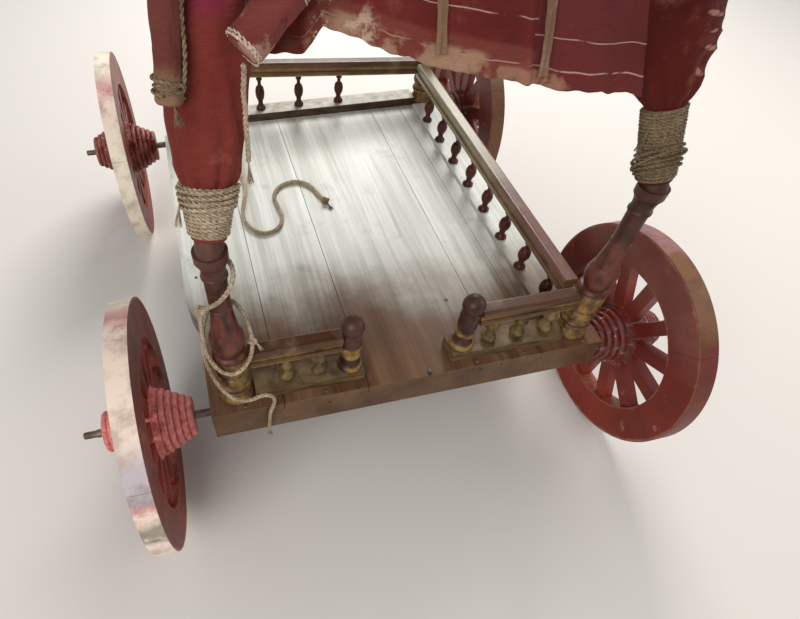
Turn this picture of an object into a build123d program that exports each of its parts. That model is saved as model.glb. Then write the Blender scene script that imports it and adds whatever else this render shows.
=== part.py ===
from build123d import *

import os
from math import cos, radians, sin, tan

# Four-wheeled processional cart: a boxed deck on two fixed iron rods, a turned gallery on three
# sides, and a cloth canopy on four sleeved poles lashed to the corner legs.
# Millimetres. Origin on the floor under the middle of the wheelbase, +X to the cart's right,
# -Y to its front, +Z up.

os.makedirs("parts", exist_ok=True)

# Wheels and rods
wheel_radius = 215.0
wheelbase = 817.0
felloe_depth = 68.0
felloe_width = 33.0
felloe_count = 6
felloe_joint = 0.6
spoke_count = 12
spoke_width = 26.0
spoke_thickness = 20.0
hub_barrel_radius = 58.0
hub_barrel_length = 40.0
hub_bead_count = 5
hub_bead_width = 10.6
hub_big_bead_radius = 53.0
hub_nose_radius = 32.0
spoke_sink = 6.0
rod_radius = 7.0
rod_end_radius = 6.0
rod_end_length = 22.0
rod_end_chamfer = 1.5
rod_beyond_deck = 213.0
running_fit = 0.1
seat_gap = 0.3

# Deck
deck_half_width = 357.0
deck_before_axle = 41.5
deck_behind_axle = 24.5
deck_above_rods = 48.0
plank_thickness = 18.0
plank_joint = 1.2
outer_plank_width = 120.0
inner_joint_shares = (-0.38, 0.667)
edge_depth = 66.0
fascia_thickness = 18.0
side_board_thickness = 18.0
axle_beam_width = 47.0
side_strip_thickness = 16.0
side_strip_inset_front = 210.0
side_strip_inset_rear = 63.0
side_strip_nose = 70.0
side_strip_depth = 48.0

# Gallery
gallery_inset = 61.0
gallery_behind_axle = 1.5
base_rail_width = 44.0
base_rail_height = 20.0
side_base_height = 6.0
top_rail_width = 27.0
top_rail_height = 34.0
gallery_height = 109.0
rail_groove_width = 10.0
rail_groove_depth = 4.0
rail_rounding = 5.0
rear_rail_slope = 4.1
baluster_pitch = 90.4
right_row_middle = -17.5
baluster_foot_radius = 11.0
squat_foot_radius = 10.0
ball_post_foot_radius = 19.0
ball_post_height = 84.0
right_baluster_count = 8
ball_post_insets = (193.0, 221.0)
ball_post_block_radius = 17.0
ball_radius = 19.0
ball_sink = 2.0
rear_baluster_places = (-226.0, -125.0, -27.0, 77.0)
front_left_baluster_insets = (84.0, 139.0)
front_right_baluster_insets = (59.0, 114.0, 169.0)
top_rail_inset = 10.0

# Legs, poles and canopy
leg_inset = 48.0
leg_height = 317.0
leg_foot_radius = 25.0
leg_foot_bead = 14.0
leg_block_radius = 27.0
pole_radius = 18.0
pole_lean_x = 61.0
pole_lean_y = 142.0
pole_height = 365.0
frame_rail_width = 24.0
frame_rail_height = 20.0
sleeve_tied_margin = 2.0
sleeve_flare = 30.0
sleeve_swell = 80.0
sleeve_gather = 7.0
sleeve_head_taper = 2.0
lashing_thickness = 7.5
lashing_rounding = 3.0
cloth = 3.0
valance_lap = 2.0
side_hem_drop = 175.0
roof_shoulder_rise = 48.0
roof_shoulder_share = 0.7
roof_rise = 72.0
roof_crown_share = 0.3

# Turned outlines: how far a bead or a long swell stands out and a cove sinks, as a share of its height
bead_share = 0.28
swell_share = 0.14
cove_share = 0.10

# Loose ropes and rolled cloth
deck_rope_diameter = 9.0
tie_rope_diameter = 7.0
brace_radius = 18.5
curtain_top_radius = 16.0
curtain_end_radius = 12.5
brace_rounding = 6.0
brace_foot_inset_x = 63.3
brace_foot_inset_y = 18.3
brace_foot_drop = 146.5
brace_head_inset_x = 168.0
brace_head_before = 50.0
brace_head_drop = 20.0
curtain_rounding = 4.0
curtain_foot_outside = 10.5
curtain_foot_inset_y = 15.4
curtain_foot_drop = 190.0
curtain_head_outside = 40.3
curtain_head_before = 57.1
curtain_head_drop = 10.0
strap_width = 14.0
strap_thickness = 2.0
strap_places = (-31.0, 95.0)
strap_end_drops = (183.0, 213.0)

# Worked out from the above
axle_y = wheelbase / 2
axle_height = wheel_radius
rod_length = 2 * (deck_half_width + rod_beyond_deck)
deck_front = -axle_y - deck_before_axle
deck_rear = axle_y + deck_behind_axle
deck_top = axle_height + deck_above_rods
outer_joint_x = deck_half_width - outer_plank_width
inner_joints = [share * outer_joint_x for share in inner_joint_shares]
plank_joints = (-outer_joint_x, *inner_joints, outer_joint_x)
side_strip_front = deck_front + side_strip_inset_front
side_strip_rear = deck_rear - side_strip_inset_rear
plank_bottom = deck_top - plank_thickness
frame_depth = edge_depth - plank_thickness
edge_bottom = deck_top - edge_depth
felloe_inner = wheel_radius - felloe_depth
hub_half = hub_barrel_length / 2 + hub_bead_count * hub_bead_width
gallery_x = deck_half_width - gallery_inset
gallery_y = axle_y + gallery_behind_axle
base_rail_top = deck_top + base_rail_height
top_rail_bottom = deck_top + gallery_height - top_rail_height
baluster_height = top_rail_bottom - base_rail_top
leg_x = deck_half_width - leg_inset
leg_y = gallery_y
ball_post_left_x = ball_post_insets[0] - leg_x
ball_post_right_x = leg_x - ball_post_insets[1]
front_baluster_places = [
    *(inset - leg_x for inset in front_left_baluster_insets),
    *(leg_x - inset for inset in front_right_baluster_insets),
]
leg_top = deck_top + leg_height
pole_top_x = leg_x - pole_lean_x
pole_top_y = leg_y - pole_lean_y
frame_bottom = leg_top + pole_height
side_hem = frame_bottom - side_hem_drop
leg_foot_reach = leg_foot_radius + bead_share * leg_foot_bead
frame_top = frame_bottom + frame_rail_height


def save(piece, label):
    piece.part.label = label
    export_step(piece.part, f"parts/{label}.step")


def turn(foot, direction, start_radius, forms, bore=0.0):
    """Revolve a turning about an axis from foot: each form is (kind, rise, end radius)."""
    bulge = {"bead": -bead_share, "swell": -swell_share, "cove": cove_share}
    axis = Vector(direction).normalized()
    across = Vector(0, 1, 0).cross(axis)
    if across.length < 0.1:
        across = Vector(1, 0, 0)
    across = across.normalized()
    with BuildSketch(Plane(origin=foot, x_dir=across, z_dir=across.cross(axis))) as outline:
        with BuildLine():
            Line((bore, 0), (start_radius, 0))
            height = 0.0
            radius = start_radius
            for kind, rise, end_radius in forms:
                start = (radius, height)
                end = (end_radius, height + rise)
                if start == end:
                    continue
                if kind in bulge:
                    SagittaArc(start, end, bulge[kind] * rise)
                else:
                    Line(start, end)
                height += rise
                radius = end_radius
            Line((radius, height), (bore, height))
            Line((bore, height), (bore, 0))
        make_face()
    revolve(outline.sketch, Axis(foot, tuple(axis)))


def block(x_from, x_to, y_from, y_to, z_from, z_to):
    """Add a squared timber between six planes."""
    with BuildSketch(Plane.XY.offset(z_from)) as section:
        with Locations(((x_from + x_to) / 2, (y_from + y_to) / 2)):
            Rectangle(x_to - x_from, y_to - y_from)
    extrude(section.sketch, z_to - z_from)


# Deck planks, with open joints
with BuildPart() as deck_planks:
    edges = (-deck_half_width, *plank_joints, deck_half_width)
    for left, right in zip(edges, edges[1:]):
        left_joint = 0.0 if left == edges[0] else plank_joint / 2
        right_joint = 0.0 if right == edges[-1] else plank_joint / 2
        block(left + left_joint, right - right_joint, deck_front, deck_rear, plank_bottom, deck_top)
save(deck_planks, "deck_planks")

# Box under the deck
with BuildPart() as front_fascia:
    block(-deck_half_width, deck_half_width, deck_front, deck_front + fascia_thickness,
          edge_bottom, plank_bottom)
save(front_fascia, "front_fascia")

front_beam_start = deck_front + fascia_thickness
front_beam_end = front_beam_start + axle_beam_width
rear_beam_start = deck_rear - axle_beam_width
for name, start, end, rod_y in (
    ("axle_beam_front", front_beam_start, front_beam_end, -axle_y),
    ("axle_beam_rear", rear_beam_start, deck_rear, axle_y),
):
    with BuildPart() as axle_beam:
        block(-deck_half_width, deck_half_width, start, end, edge_bottom, plank_bottom)
        with Locations(Location((0, rod_y, axle_height), (0, 90, 0))):
            Cylinder(rod_radius + running_fit, 2 * deck_half_width, mode=Mode.SUBTRACT)
    save(axle_beam, name)

for name, side in (("side_board_left", -1), ("side_board_right", 1)):
    with BuildPart() as side_board:
        outer = side * deck_half_width
        inner = side * (deck_half_width - side_board_thickness)
        block(min(outer, inner), max(outer, inner), front_beam_end, rear_beam_start,
              edge_bottom, plank_bottom)
    save(side_board, name)

with BuildPart() as side_strip_left:
    strip_outer = -deck_half_width - side_strip_thickness
    with BuildSketch(Plane.XY.offset(deck_top - side_strip_depth)):
        with BuildLine():
            Line((-deck_half_width, side_strip_front), (-deck_half_width, side_strip_rear))
            Line((-deck_half_width, side_strip_rear), (strip_outer, side_strip_rear))
            Line((strip_outer, side_strip_rear), (strip_outer, side_strip_front + side_strip_nose))
            TangentArc((strip_outer, side_strip_front + side_strip_nose),
                       (-deck_half_width, side_strip_front), tangent=(0, -1))
        make_face()
    extrude(amount=side_strip_depth)
save(side_strip_left, "side_strip_left")

# Iron rods that the wheels turn on, their tips turned down a little
rod_shank = rod_length - 2 * rod_end_length
ROD = (
    ("cone", rod_end_chamfer, rod_end_radius),
    ("cone", rod_end_length - rod_end_chamfer, rod_end_radius),
    ("cone", 0.0, rod_radius),
    ("cone", rod_shank, rod_radius),
    ("cone", 0.0, rod_end_radius),
    ("cone", rod_end_length - rod_end_chamfer, rod_end_radius),
    ("cone", rod_end_chamfer, rod_end_radius - rod_end_chamfer),
)
for name, rod_y in (("axle_rod_front", -axle_y), ("axle_rod_rear", axle_y)):
    with BuildPart() as axle_rod:
        turn((-rod_length / 2, rod_y, axle_height), (1, 0, 0), rod_end_radius - rod_end_chamfer, ROD)
    save(axle_rod, name)

# Wheels: name, side, slack between the deck's side and the hub, rod place, first spoke's angle
WHEELS = (
    ("wheel_front_left", -1, 31.0, -axle_y, 12.0),
    ("wheel_front_right", 1, 6.0, -axle_y, 5.5),
    ("wheel_rear_left", -1, 42.0, axle_y, 20.0),
    ("wheel_rear_right", 1, 6.0, axle_y, 3.0),
)
spoke_pitch = 360.0 / spoke_count
for name, side, slack, wheel_y, spoke_angle in WHEELS:
    wheel_x = side * (deck_half_width + slack + hub_half)
    wheel_plane = Plane(origin=(wheel_x, wheel_y, axle_height), x_dir=(0, 1, 0), z_dir=(1, 0, 0))
    with BuildPart() as rim:
        with BuildSketch(wheel_plane.offset(-felloe_width / 2)):
            Circle(wheel_radius)
            Circle(felloe_inner, mode=Mode.SUBTRACT)
            with PolarLocations((wheel_radius + felloe_inner) / 2, felloe_count,
                                start_angle=spoke_angle + spoke_pitch / 2):
                Rectangle(felloe_depth + 4, felloe_joint, mode=Mode.SUBTRACT)
        extrude(amount=felloe_width)
    save(rim, f"{name}_rim")

    taper = (hub_big_bead_radius - hub_nose_radius) / (hub_bead_count - 1)
    bead_radii = [hub_nose_radius + taper * n for n in range(hub_bead_count)]
    with BuildPart() as hub:
        forms = []
        for radius in bead_radii:
            forms += [("cone", 0.0, radius), ("bead", hub_bead_width, radius)]
        forms += [("cone", 0.0, hub_barrel_radius), ("cone", hub_barrel_length, hub_barrel_radius)]
        for radius in reversed(bead_radii):
            forms += [("cone", 0.0, radius), ("bead", hub_bead_width, radius)]
        turn((wheel_x - hub_half, wheel_y, axle_height), (1, 0, 0), hub_nose_radius, forms,
             bore=rod_radius + running_fit)
        spoke_start = hub_barrel_radius - spoke_sink
        with BuildSketch(wheel_plane.offset(-spoke_thickness / 2)):
            with PolarLocations((spoke_start + felloe_inner) / 2, spoke_count,
                                start_angle=spoke_angle):
                Rectangle(felloe_inner - spoke_start + 2, spoke_width)
            Circle(felloe_inner - seat_gap, mode=Mode.INTERSECT)
            Circle(spoke_start, mode=Mode.SUBTRACT)
        extrude(amount=spoke_thickness)
    save(hub, f"{name}_hub")


# Gallery rails
def base_rail(x_from, x_to, y_from, y_to, height=base_rail_height):
    block(x_from, x_to, y_from, y_to, deck_top, deck_top + height)


half_base = base_rail_width / 2
leg_clear = leg_foot_reach + seat_gap
with BuildPart() as base_rail_right:
    base_rail(gallery_x - half_base, gallery_x + half_base, -leg_y + leg_clear, leg_y - leg_clear,
              side_base_height)
save(base_rail_right, "base_rail_right")
with BuildPart() as base_rail_rear:
    base_rail(-leg_x + leg_clear, leg_x - leg_clear, gallery_y - half_base, gallery_y + half_base)
save(base_rail_rear, "base_rail_rear")
with BuildPart() as base_rail_front_left:
    base_rail(-leg_x + leg_clear, ball_post_left_x + half_base,
              -gallery_y - half_base, -gallery_y + half_base)
save(base_rail_front_left, "base_rail_front_left")
with BuildPart() as base_rail_front_right:
    base_rail(ball_post_right_x - half_base, leg_x - leg_clear,
              -gallery_y - half_base, -gallery_y + half_base)
save(base_rail_front_right, "base_rail_front_right")


def top_rail(start, end, lift=0.0):
    """Add a grooved handrail between two plan points, its far end lifted."""
    run = Vector(end[0] - start[0], end[1] - start[1], lift)
    across = Vector(run.Y, -run.X, 0).normalized()
    middle = top_rail_bottom + top_rail_height / 2
    section_plane = Plane(origin=(start[0], start[1], middle), x_dir=across, z_dir=run.normalized())
    with BuildSketch(section_plane) as section:
        Rectangle(top_rail_width, top_rail_height)
        fillet(section.vertices(), rail_rounding)
        for turn_side in (-1, 1):
            with Locations((turn_side * top_rail_width / 2, 0)):
                Rectangle(2 * rail_groove_depth, rail_groove_width, mode=Mode.SUBTRACT)
    extrude(section.sketch, run.length)


top_rail_x = gallery_x - top_rail_inset
block_clear = leg_block_radius + seat_gap
post_clear = ball_post_block_radius + seat_gap
with BuildPart() as top_rail_right:
    top_rail((top_rail_x, -leg_y + block_clear), (top_rail_x, leg_y - block_clear))
save(top_rail_right, "top_rail_right")
tilt_clear = top_rail_height / 2 * sin(radians(rear_rail_slope))
rear_rail_right_end = leg_x - block_clear - tilt_clear
rear_rail_left_end = -leg_x + leg_foot_reach + seat_gap
rear_lift = (rear_rail_right_end - rear_rail_left_end) * sin(radians(rear_rail_slope))
with BuildPart() as top_rail_rear:
    top_rail((rear_rail_right_end, gallery_y), (rear_rail_left_end, gallery_y), rear_lift)
save(top_rail_rear, "top_rail_rear")
with BuildPart() as top_rail_front_left:
    top_rail((-leg_x + block_clear, -gallery_y), (ball_post_left_x - post_clear, -gallery_y))
save(top_rail_front_left, "top_rail_front_left")
with BuildPart() as top_rail_front_right:
    top_rail((ball_post_right_x + post_clear, -gallery_y), (leg_x - block_clear, -gallery_y))
save(top_rail_front_right, "top_rail_front_right")

# Turned work of the gallery: kind, rise, radius at the upper end
BALUSTER = (
    ("bead", 5.0, 9.5),
    ("cove", 7.0, 5.5),
    ("bead", 3.0, 5.5),
    ("cone", 2.0, 8.0),
    ("swell", 20.0, 9.0),
    ("cone", 3.0, 5.0),
    ("cove", 8.0, 5.0),
    ("bead", 4.0, 7.0),
    ("cone", 3.0, 7.0),
)
BALL_POST = (
    ("bead", 12.0, 18.0),
    ("cove", 14.0, 13.0),
    ("bead", 12.0, 14.0),
    ("cone", 12.0, ball_post_block_radius),
    ("cone", 30.0, ball_post_block_radius),
    ("cone", 4.0, 10.0),
)
SQUAT_BALUSTER = (
    ("bead", 14.0, 9.0),
    ("cove", 14.0, 7.0),
    ("bead", 14.0, 9.0),
    ("cone", 13.0, 7.0),
)


def fitted(forms, height):
    """The forms with their rises scaled together to add up to a height."""
    share = height / sum(rise for kind, rise, radius in forms)
    return [(kind, rise * share, radius) for kind, rise, radius in forms]


with BuildPart() as balusters_right:
    first = right_row_middle - baluster_pitch * (right_baluster_count - 1) / 2
    side_base_top = deck_top + side_base_height
    for n in range(right_baluster_count):
        turn((top_rail_x, first + n * baluster_pitch, side_base_top), (0, 0, 1),
             baluster_foot_radius, fitted(BALUSTER, top_rail_bottom - side_base_top))
save(balusters_right, "balusters_right")

with BuildPart() as balusters_rear:
    for baluster_x in rear_baluster_places:
        turn((baluster_x, gallery_y, base_rail_top), (0, 0, 1), baluster_foot_radius,
             fitted(BALUSTER, baluster_height))
save(balusters_rear, "balusters_rear")

with BuildPart() as balusters_front:
    for baluster_x in front_baluster_places:
        turn((baluster_x, -gallery_y, base_rail_top), (0, 0, 1), squat_foot_radius,
             fitted(SQUAT_BALUSTER, baluster_height))
save(balusters_front, "balusters_front")

for name, post_x in (("ball_post_left", ball_post_left_x), ("ball_post_right", ball_post_right_x)):
    with BuildPart() as ball_post:
        turn((post_x, -gallery_y, base_rail_top), (0, 0, 1), ball_post_foot_radius,
             fitted(BALL_POST, ball_post_height))
        ball_height = base_rail_top + ball_post_height + ball_radius - ball_sink
        with Locations((post_x, -gallery_y, ball_height)):
            Sphere(ball_radius)
    save(ball_post, name)

# Corner legs
LEG = (
    ("bead", leg_foot_bead, leg_foot_radius),
    ("cone", 4.0, 23.0),
    ("cone", 8.0, 23.0),
    ("bead", 14.0, 23.0),
    ("cone", 6.0, 21.0),
    ("bead", 20.0, 22.0),
    ("cone", 9.0, leg_block_radius),
    ("cone", 37.0, leg_block_radius),
    ("bead", 8.0, 18.5),
    ("swell", 46.0, 21.0),
    ("cone", 46.0, 15.0),
    ("bead", 5.0, 15.0),
    ("cone", 55.0, 15.5),
    ("bead", 7.0, 16.5),
    ("cove", 24.0, 22.0),
    ("cone", 14.0, 22.3),
)
# Corner, side, end, lashing's start and length along the pole, sleeve's radius there and above it
CORNERS = (
    ("front_left", -1, -1, 20.0, 60.0, 25.0, 46.0),
    ("front_right", 1, -1, 10.0, 96.0, 21.5, 50.0),
    ("rear_left", -1, 1, 18.0, 72.0, 23.0, 46.0),
    ("rear_right", 1, 1, 18.0, 72.0, 23.0, 46.0),
)
widest_sleeve = max(row[-1] for row in CORNERS)
for name, side, end, *sizes in CORNERS:
    with BuildPart() as leg:
        turn((side * leg_x, end * leg_y, deck_top), (0, 0, 1), leg_foot_radius,
             fitted(LEG, leg_height))
    save(leg, f"leg_{name}")

# Poles that lean in from the legs to the canopy frame, their cloth sleeves and their lashings
above_leg = Plane.XY.offset(leg_top)
above_leg_cloth = Plane.XY.offset(leg_top + seat_gap)
under_frame = Plane.XY.offset(frame_bottom)
under_frame_cloth = Plane.XY.offset(frame_bottom - seat_gap)
overrun = 30.0


def pole_line(side, end):
    """Foot, direction and length of a pole's axis."""
    foot = Vector(side * leg_x, end * leg_y, leg_top)
    head = Vector(side * pole_top_x, end * pole_top_y, frame_bottom)
    return foot, (head - foot).normalized(), (head - foot).length


with BuildPart() as canopy_poles:
    for name, side, end, *sizes in CORNERS:
        foot, direction, length = pole_line(side, end)
        turn(tuple(foot - direction * overrun), tuple(direction), pole_radius,
             (("cone", length + 2 * overrun, pole_radius),))
    split(bisect_by=above_leg, keep=Keep.TOP)
    split(bisect_by=under_frame, keep=Keep.BOTTOM)
save(canopy_poles, "canopy_poles")

for name, side, end, lashing_start, lashing_length, tied_radius, sleeve_radius in CORNERS:
    foot, direction, length = pole_line(side, end)
    tied_run = lashing_start + lashing_length + sleeve_tied_margin
    above_swell = length - tied_run - sleeve_flare - sleeve_swell
    with BuildPart() as sleeve:
        turn(tuple(foot - direction * overrun), tuple(direction), tied_radius,
             (("cone", overrun + tied_run, tied_radius),
              ("cone", sleeve_flare, sleeve_radius - sleeve_gather),
              ("cone", sleeve_swell, sleeve_radius),
              ("cone", above_swell + overrun, sleeve_radius - sleeve_head_taper)),
             bore=pole_radius + seat_gap)
        split(bisect_by=above_leg_cloth, keep=Keep.TOP)
        split(bisect_by=under_frame_cloth, keep=Keep.BOTTOM)
    save(sleeve, f"sleeve_{name}")

    lashing_inner = tied_radius + seat_gap
    lashing_outer = lashing_inner + lashing_thickness
    with BuildPart() as lashing:
        turn(tuple(foot + direction * lashing_start), tuple(direction), lashing_outer,
             (("cone", lashing_length, lashing_outer),), bore=lashing_inner)
        fillet(lashing.edges().filter_by(GeomType.CIRCLE).group_by(SortBy.RADIUS)[-1],
               lashing_rounding)
        split(bisect_by=above_leg_cloth, keep=Keep.TOP)
    save(lashing, f"lashing_{name}")

# Canopy frame of four battens
side_batten_end = pole_top_y + frame_rail_width / 2
cross_batten_end = pole_top_x - frame_rail_width / 2
with BuildPart() as canopy_side_battens:
    for side in (-1, 1):
        block(side * pole_top_x - frame_rail_width / 2, side * pole_top_x + frame_rail_width / 2,
              -side_batten_end, side_batten_end, frame_bottom, frame_top)
save(canopy_side_battens, "canopy_side_battens")
with BuildPart() as canopy_cross_battens:
    for end in (-1, 1):
        block(-cross_batten_end, cross_batten_end,
              end * pole_top_y - frame_rail_width / 2, end * pole_top_y + frame_rail_width / 2,
              frame_bottom, frame_top)
save(canopy_cross_battens, "canopy_cross_battens")

# Cloth: valances hang in the planes of the leaning poles, outside the battens
lean_x = (leg_x - pole_top_x) / (frame_bottom - leg_top)
lean_y = (leg_y - pole_top_y) / (frame_bottom - leg_top)
valance_top = frame_top - valance_lap
valance_front_start = pole_top_y + frame_rail_width / 2 + seat_gap
valance_side_start = pole_top_x + frame_rail_width / 2 + seat_gap


def slope_length(height, lean):
    return height * (1 + lean * lean) ** 0.5


sleeve_clear = slope_length(widest_sleeve, lean_y) + 2.0

# Hem of the front valance, left to right: x, drop below the frame
FRONT_HEM = (
    (24.0 - pole_top_x, 166.0),
    (69.0 - pole_top_x, 170.0),
    (92.0 - pole_top_x, 152.0),
    (-40.0, 192.0),
    (101.0, 223.0),
    (pole_top_x - 11.0, 242.0),
)
rear_hem_half = pole_top_x - sleeve_clear + lean_x * (frame_bottom - side_hem)
REAR_HEM = ((-rear_hem_half, side_hem_drop), (rear_hem_half, side_hem_drop))
for name, end, hem in (("valance_front", -1, FRONT_HEM), ("valance_rear", 1, REAR_HEM)):
    hang = Plane(origin=(0, end * valance_front_start, valance_top), x_dir=(1, 0, 0),
                 z_dir=Vector(0, -1, -end * lean_y).normalized())
    with BuildPart() as valance:
        with BuildSketch(hang):
            with BuildLine():
                top_half = pole_top_x - sleeve_clear
                points = [(-top_half, 0.0)]
                hem_start = valance_top - frame_bottom
                points += [(x, -slope_length(hem_start + drop, lean_y)) for x, drop in hem]
                points += [(top_half, 0.0)]
                Polyline(*points, close=True)
            make_face()
        extrude(amount=-end * cloth)
    save(valance, name)

for name, side in (("valance_left", -1), ("valance_right", 1)):
    hang = Plane(origin=(side * valance_side_start, 0, valance_top), x_dir=(0, 1, 0),
                 z_dir=Vector(1, 0, side * lean_x).normalized())
    with BuildPart() as valance:
        with BuildSketch(hang):
            with BuildLine():
                top_half = pole_top_y - sleeve_clear
                drop = valance_top - side_hem
                hem_half = top_half + lean_y * (frame_bottom - side_hem)
                low = -slope_length(drop, lean_x)
                Polyline((-top_half, 0.0), (-hem_half, low), (hem_half, low), (top_half, 0.0), close=True)
            make_face()
        extrude(amount=side * cloth)
    save(valance, name)

roof_half_x = valance_side_start + 2 * cloth
roof_half_y = valance_front_start + 2 * cloth
roof_base = frame_top + seat_gap
with BuildPart() as canopy_roof:
    for inset, mode in ((0.0, Mode.ADD), (cloth, Mode.SUBTRACT)):
        with BuildSketch(Plane.XY.offset(roof_base)) as eaves:
            Rectangle(2 * (roof_half_x - inset), 2 * (roof_half_y - inset))
        with BuildSketch(Plane.XY.offset(roof_base + roof_shoulder_rise - inset)) as shoulder:
            Rectangle(2 * roof_half_x * roof_shoulder_share, 2 * roof_half_y * roof_shoulder_share)
        with BuildSketch(Plane.XY.offset(roof_base + roof_rise - inset)) as crown:
            Rectangle(2 * roof_half_x * roof_crown_share, 2 * roof_half_y * roof_crown_share)
        loft(Sketch() + [eaves.sketch, shoulder.sketch], mode=mode)
        loft(Sketch() + [shoulder.sketch, crown.sketch], mode=mode)
save(canopy_roof, "canopy_roof")

# Tan straps down the front of the valance
front_normal = Vector(0, -1, lean_y).normalized()
strap_start = Vector(0, -valance_front_start, valance_top) + front_normal * (cloth + seat_gap)
strap_plane = Plane(origin=tuple(strap_start), x_dir=(1, 0, 0), z_dir=tuple(front_normal))
with BuildPart() as valance_straps:
    for strap_x, strap_end in zip(strap_places, strap_end_drops):
        strap_drop = slope_length(valance_top - frame_bottom + strap_end, lean_y)
        with BuildSketch(strap_plane) as strap:
            with Locations((strap_x, -strap_drop / 2)):
                Rectangle(strap_width, strap_drop)
        extrude(strap.sketch, strap_thickness)
save(valance_straps, "valance_straps")

# Cloth-bound brace from the front left pole to the front of the canopy, and the rolled curtain
brace_foot = (brace_foot_inset_x - leg_x, brace_foot_inset_y - leg_y, frame_bottom - brace_foot_drop)
brace_head = (brace_head_inset_x - pole_top_x, -pole_top_y - brace_head_before,
              frame_bottom - brace_head_drop)
curtain_foot = (-leg_x - curtain_foot_outside, curtain_foot_inset_y - leg_y,
                frame_bottom - curtain_foot_drop)
curtain_head = (-pole_top_x - curtain_head_outside, -pole_top_y - curtain_head_before,
                frame_bottom - curtain_head_drop)
with BuildPart() as brace_left:
    run = Vector(brace_head) - Vector(brace_foot)
    turn(brace_foot, tuple(run), brace_radius, (("cone", run.length, brace_radius),))
    fillet(brace_left.edges().filter_by(GeomType.CIRCLE), brace_rounding)
save(brace_left, "brace_left")

with BuildPart() as curtain_roll_left:
    run = Vector(curtain_head) - Vector(curtain_foot)
    turn(curtain_foot, tuple(run), curtain_end_radius, (("cone", run.length, curtain_top_radius),))
    fillet(curtain_roll_left.edges().filter_by(GeomType.CIRCLE), curtain_rounding)
save(curtain_roll_left, "curtain_roll_left")


def rope(route, diameter):
    """Sweep a rope's section along straight runs joined by tangent arcs; print the radii."""
    points = [Vector(*place) for place in route]
    radii = []
    for before, here, after in zip(points, points[1:], points[2:]):
        half_turn = (here - before).get_angle(after - here) / 2
        shorter = min((here - before).length, (after - here).length)
        radii.append(0.45 * shorter / tan(radians(half_turn)))
    print("rope radii", [round(radius, 1) for radius in radii])
    with BuildLine() as path:
        FilletPolyline(*points, radius=radii)
    with BuildSketch(Plane(origin=path.line @ 0, z_dir=path.line % 0)) as section:
        Circle(diameter / 2)
    sweep(section.sketch, path=path.line)


# Rope lying on the deck: x and y from the rear left leg
rope_z = deck_top + deck_rope_diameter / 2 + seat_gap
DECK_ROPE = (
    (23.0, -23.2),
    (47.0, -58.0),
    (66.0, -110.0),
    (78.0, -160.0),
    (86.0, -204.0),
    (97.0, -250.0),
    (98.0, -292.0),
    (87.0, -336.0),
    (76.0, -382.0),
    (83.0, -424.0),
    (111.0, -452.0),
    (146.0, -440.0),
    (161.0, -402.0),
    (155.0, -362.0),
    (153.0, -326.0),
    (175.0, -296.0),
    (211.0, -286.0),
    (241.0, -306.0),
    (252.0, -342.0),
    (263.0, -376.0),
)
with BuildPart() as deck_rope:
    rope([(x - leg_x, y + leg_y, rope_z) for x, y in DECK_ROPE], deck_rope_diameter)
save(deck_rope, "deck_rope")

# Rope tied round the front left leg, its end hanging over the deck's edge.
# Turns about the leg: angle, reach from its axis, height above the deck. Then the tail: x from
# the leg, y from the deck's front edge, height above the deck.
TIE_TURNS = (
    (100.0, 27.0, 293.0),
    (50.0, 27.0, 289.0),
    (0.0, 26.0, 279.0),
    (315.0, 25.0, 265.0),
    (270.0, 24.0, 249.0),
    (225.0, 24.0, 234.0),
    (190.0, 27.0, 220.0),
    (183.0, 31.0, 192.0),
    (185.0, 33.0, 162.0),
    (190.0, 34.0, 137.0),
    (205.0, 34.0, 120.0),
    (240.0, 34.0, 103.0),
    (270.0, 34.5, 99.0),
    (300.0, 35.0, 105.0),
    (335.0, 36.0, 117.0),
    (5.0, 37.0, 129.0),
    (20.0, 36.0, 152.0),
    (25.0, 33.0, 177.0),
    (45.0, 29.0, 199.0),
    (90.0, 27.0, 205.0),
    (135.0, 29.0, 189.0),
    (160.0, 33.0, 162.0),
    (170.0, 37.0, 137.0),
    (190.0, 39.0, 115.0),
    (225.0, 41.0, 81.0),
    (250.0, 43.0, 55.0),
    (275.0, 46.0, 41.0),
    (300.0, 50.0, 49.0),
)
TIE_TAIL = (
    (32.0, 1.0, 61.0),
    (40.0, 2.0, 61.0),
    (45.0, 0.0, 49.0),
    (46.0, -3.0, 29.0),
    (41.0, -4.3, -1.0),
    (45.0, -4.0, -31.0),
    (42.0, -4.5, -59.0),
)
with BuildPart() as tie_rope:
    turns = [
        (-leg_x + reach * cos(radians(angle)), -leg_y + reach * sin(radians(angle)), deck_top + height)
        for angle, reach, height in TIE_TURNS
    ]
    tail = [(x - leg_x, y + deck_front, deck_top + height) for x, y, height in TIE_TAIL]
    rope([*turns, *tail], tie_rope_diameter)
save(tie_rope, "tie_rope")
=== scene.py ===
# %% [markdown]
# # A four-wheeled processional cart
# A low wooden cart on spoked wheels, with a turned gallery round its deck and a red cloth canopy on
# four sleeved poles. The solids come packed and fixed: this script gives them their paint, grain and
# wear, and makes what is soft, which is the rope and the cloth, as meshes of its own.

# %% Load the fixed frame
from math import cos, exp, pi, radians, sin, sqrt, tau

import bpy
from mathutils import Matrix, Vector, noise


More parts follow.
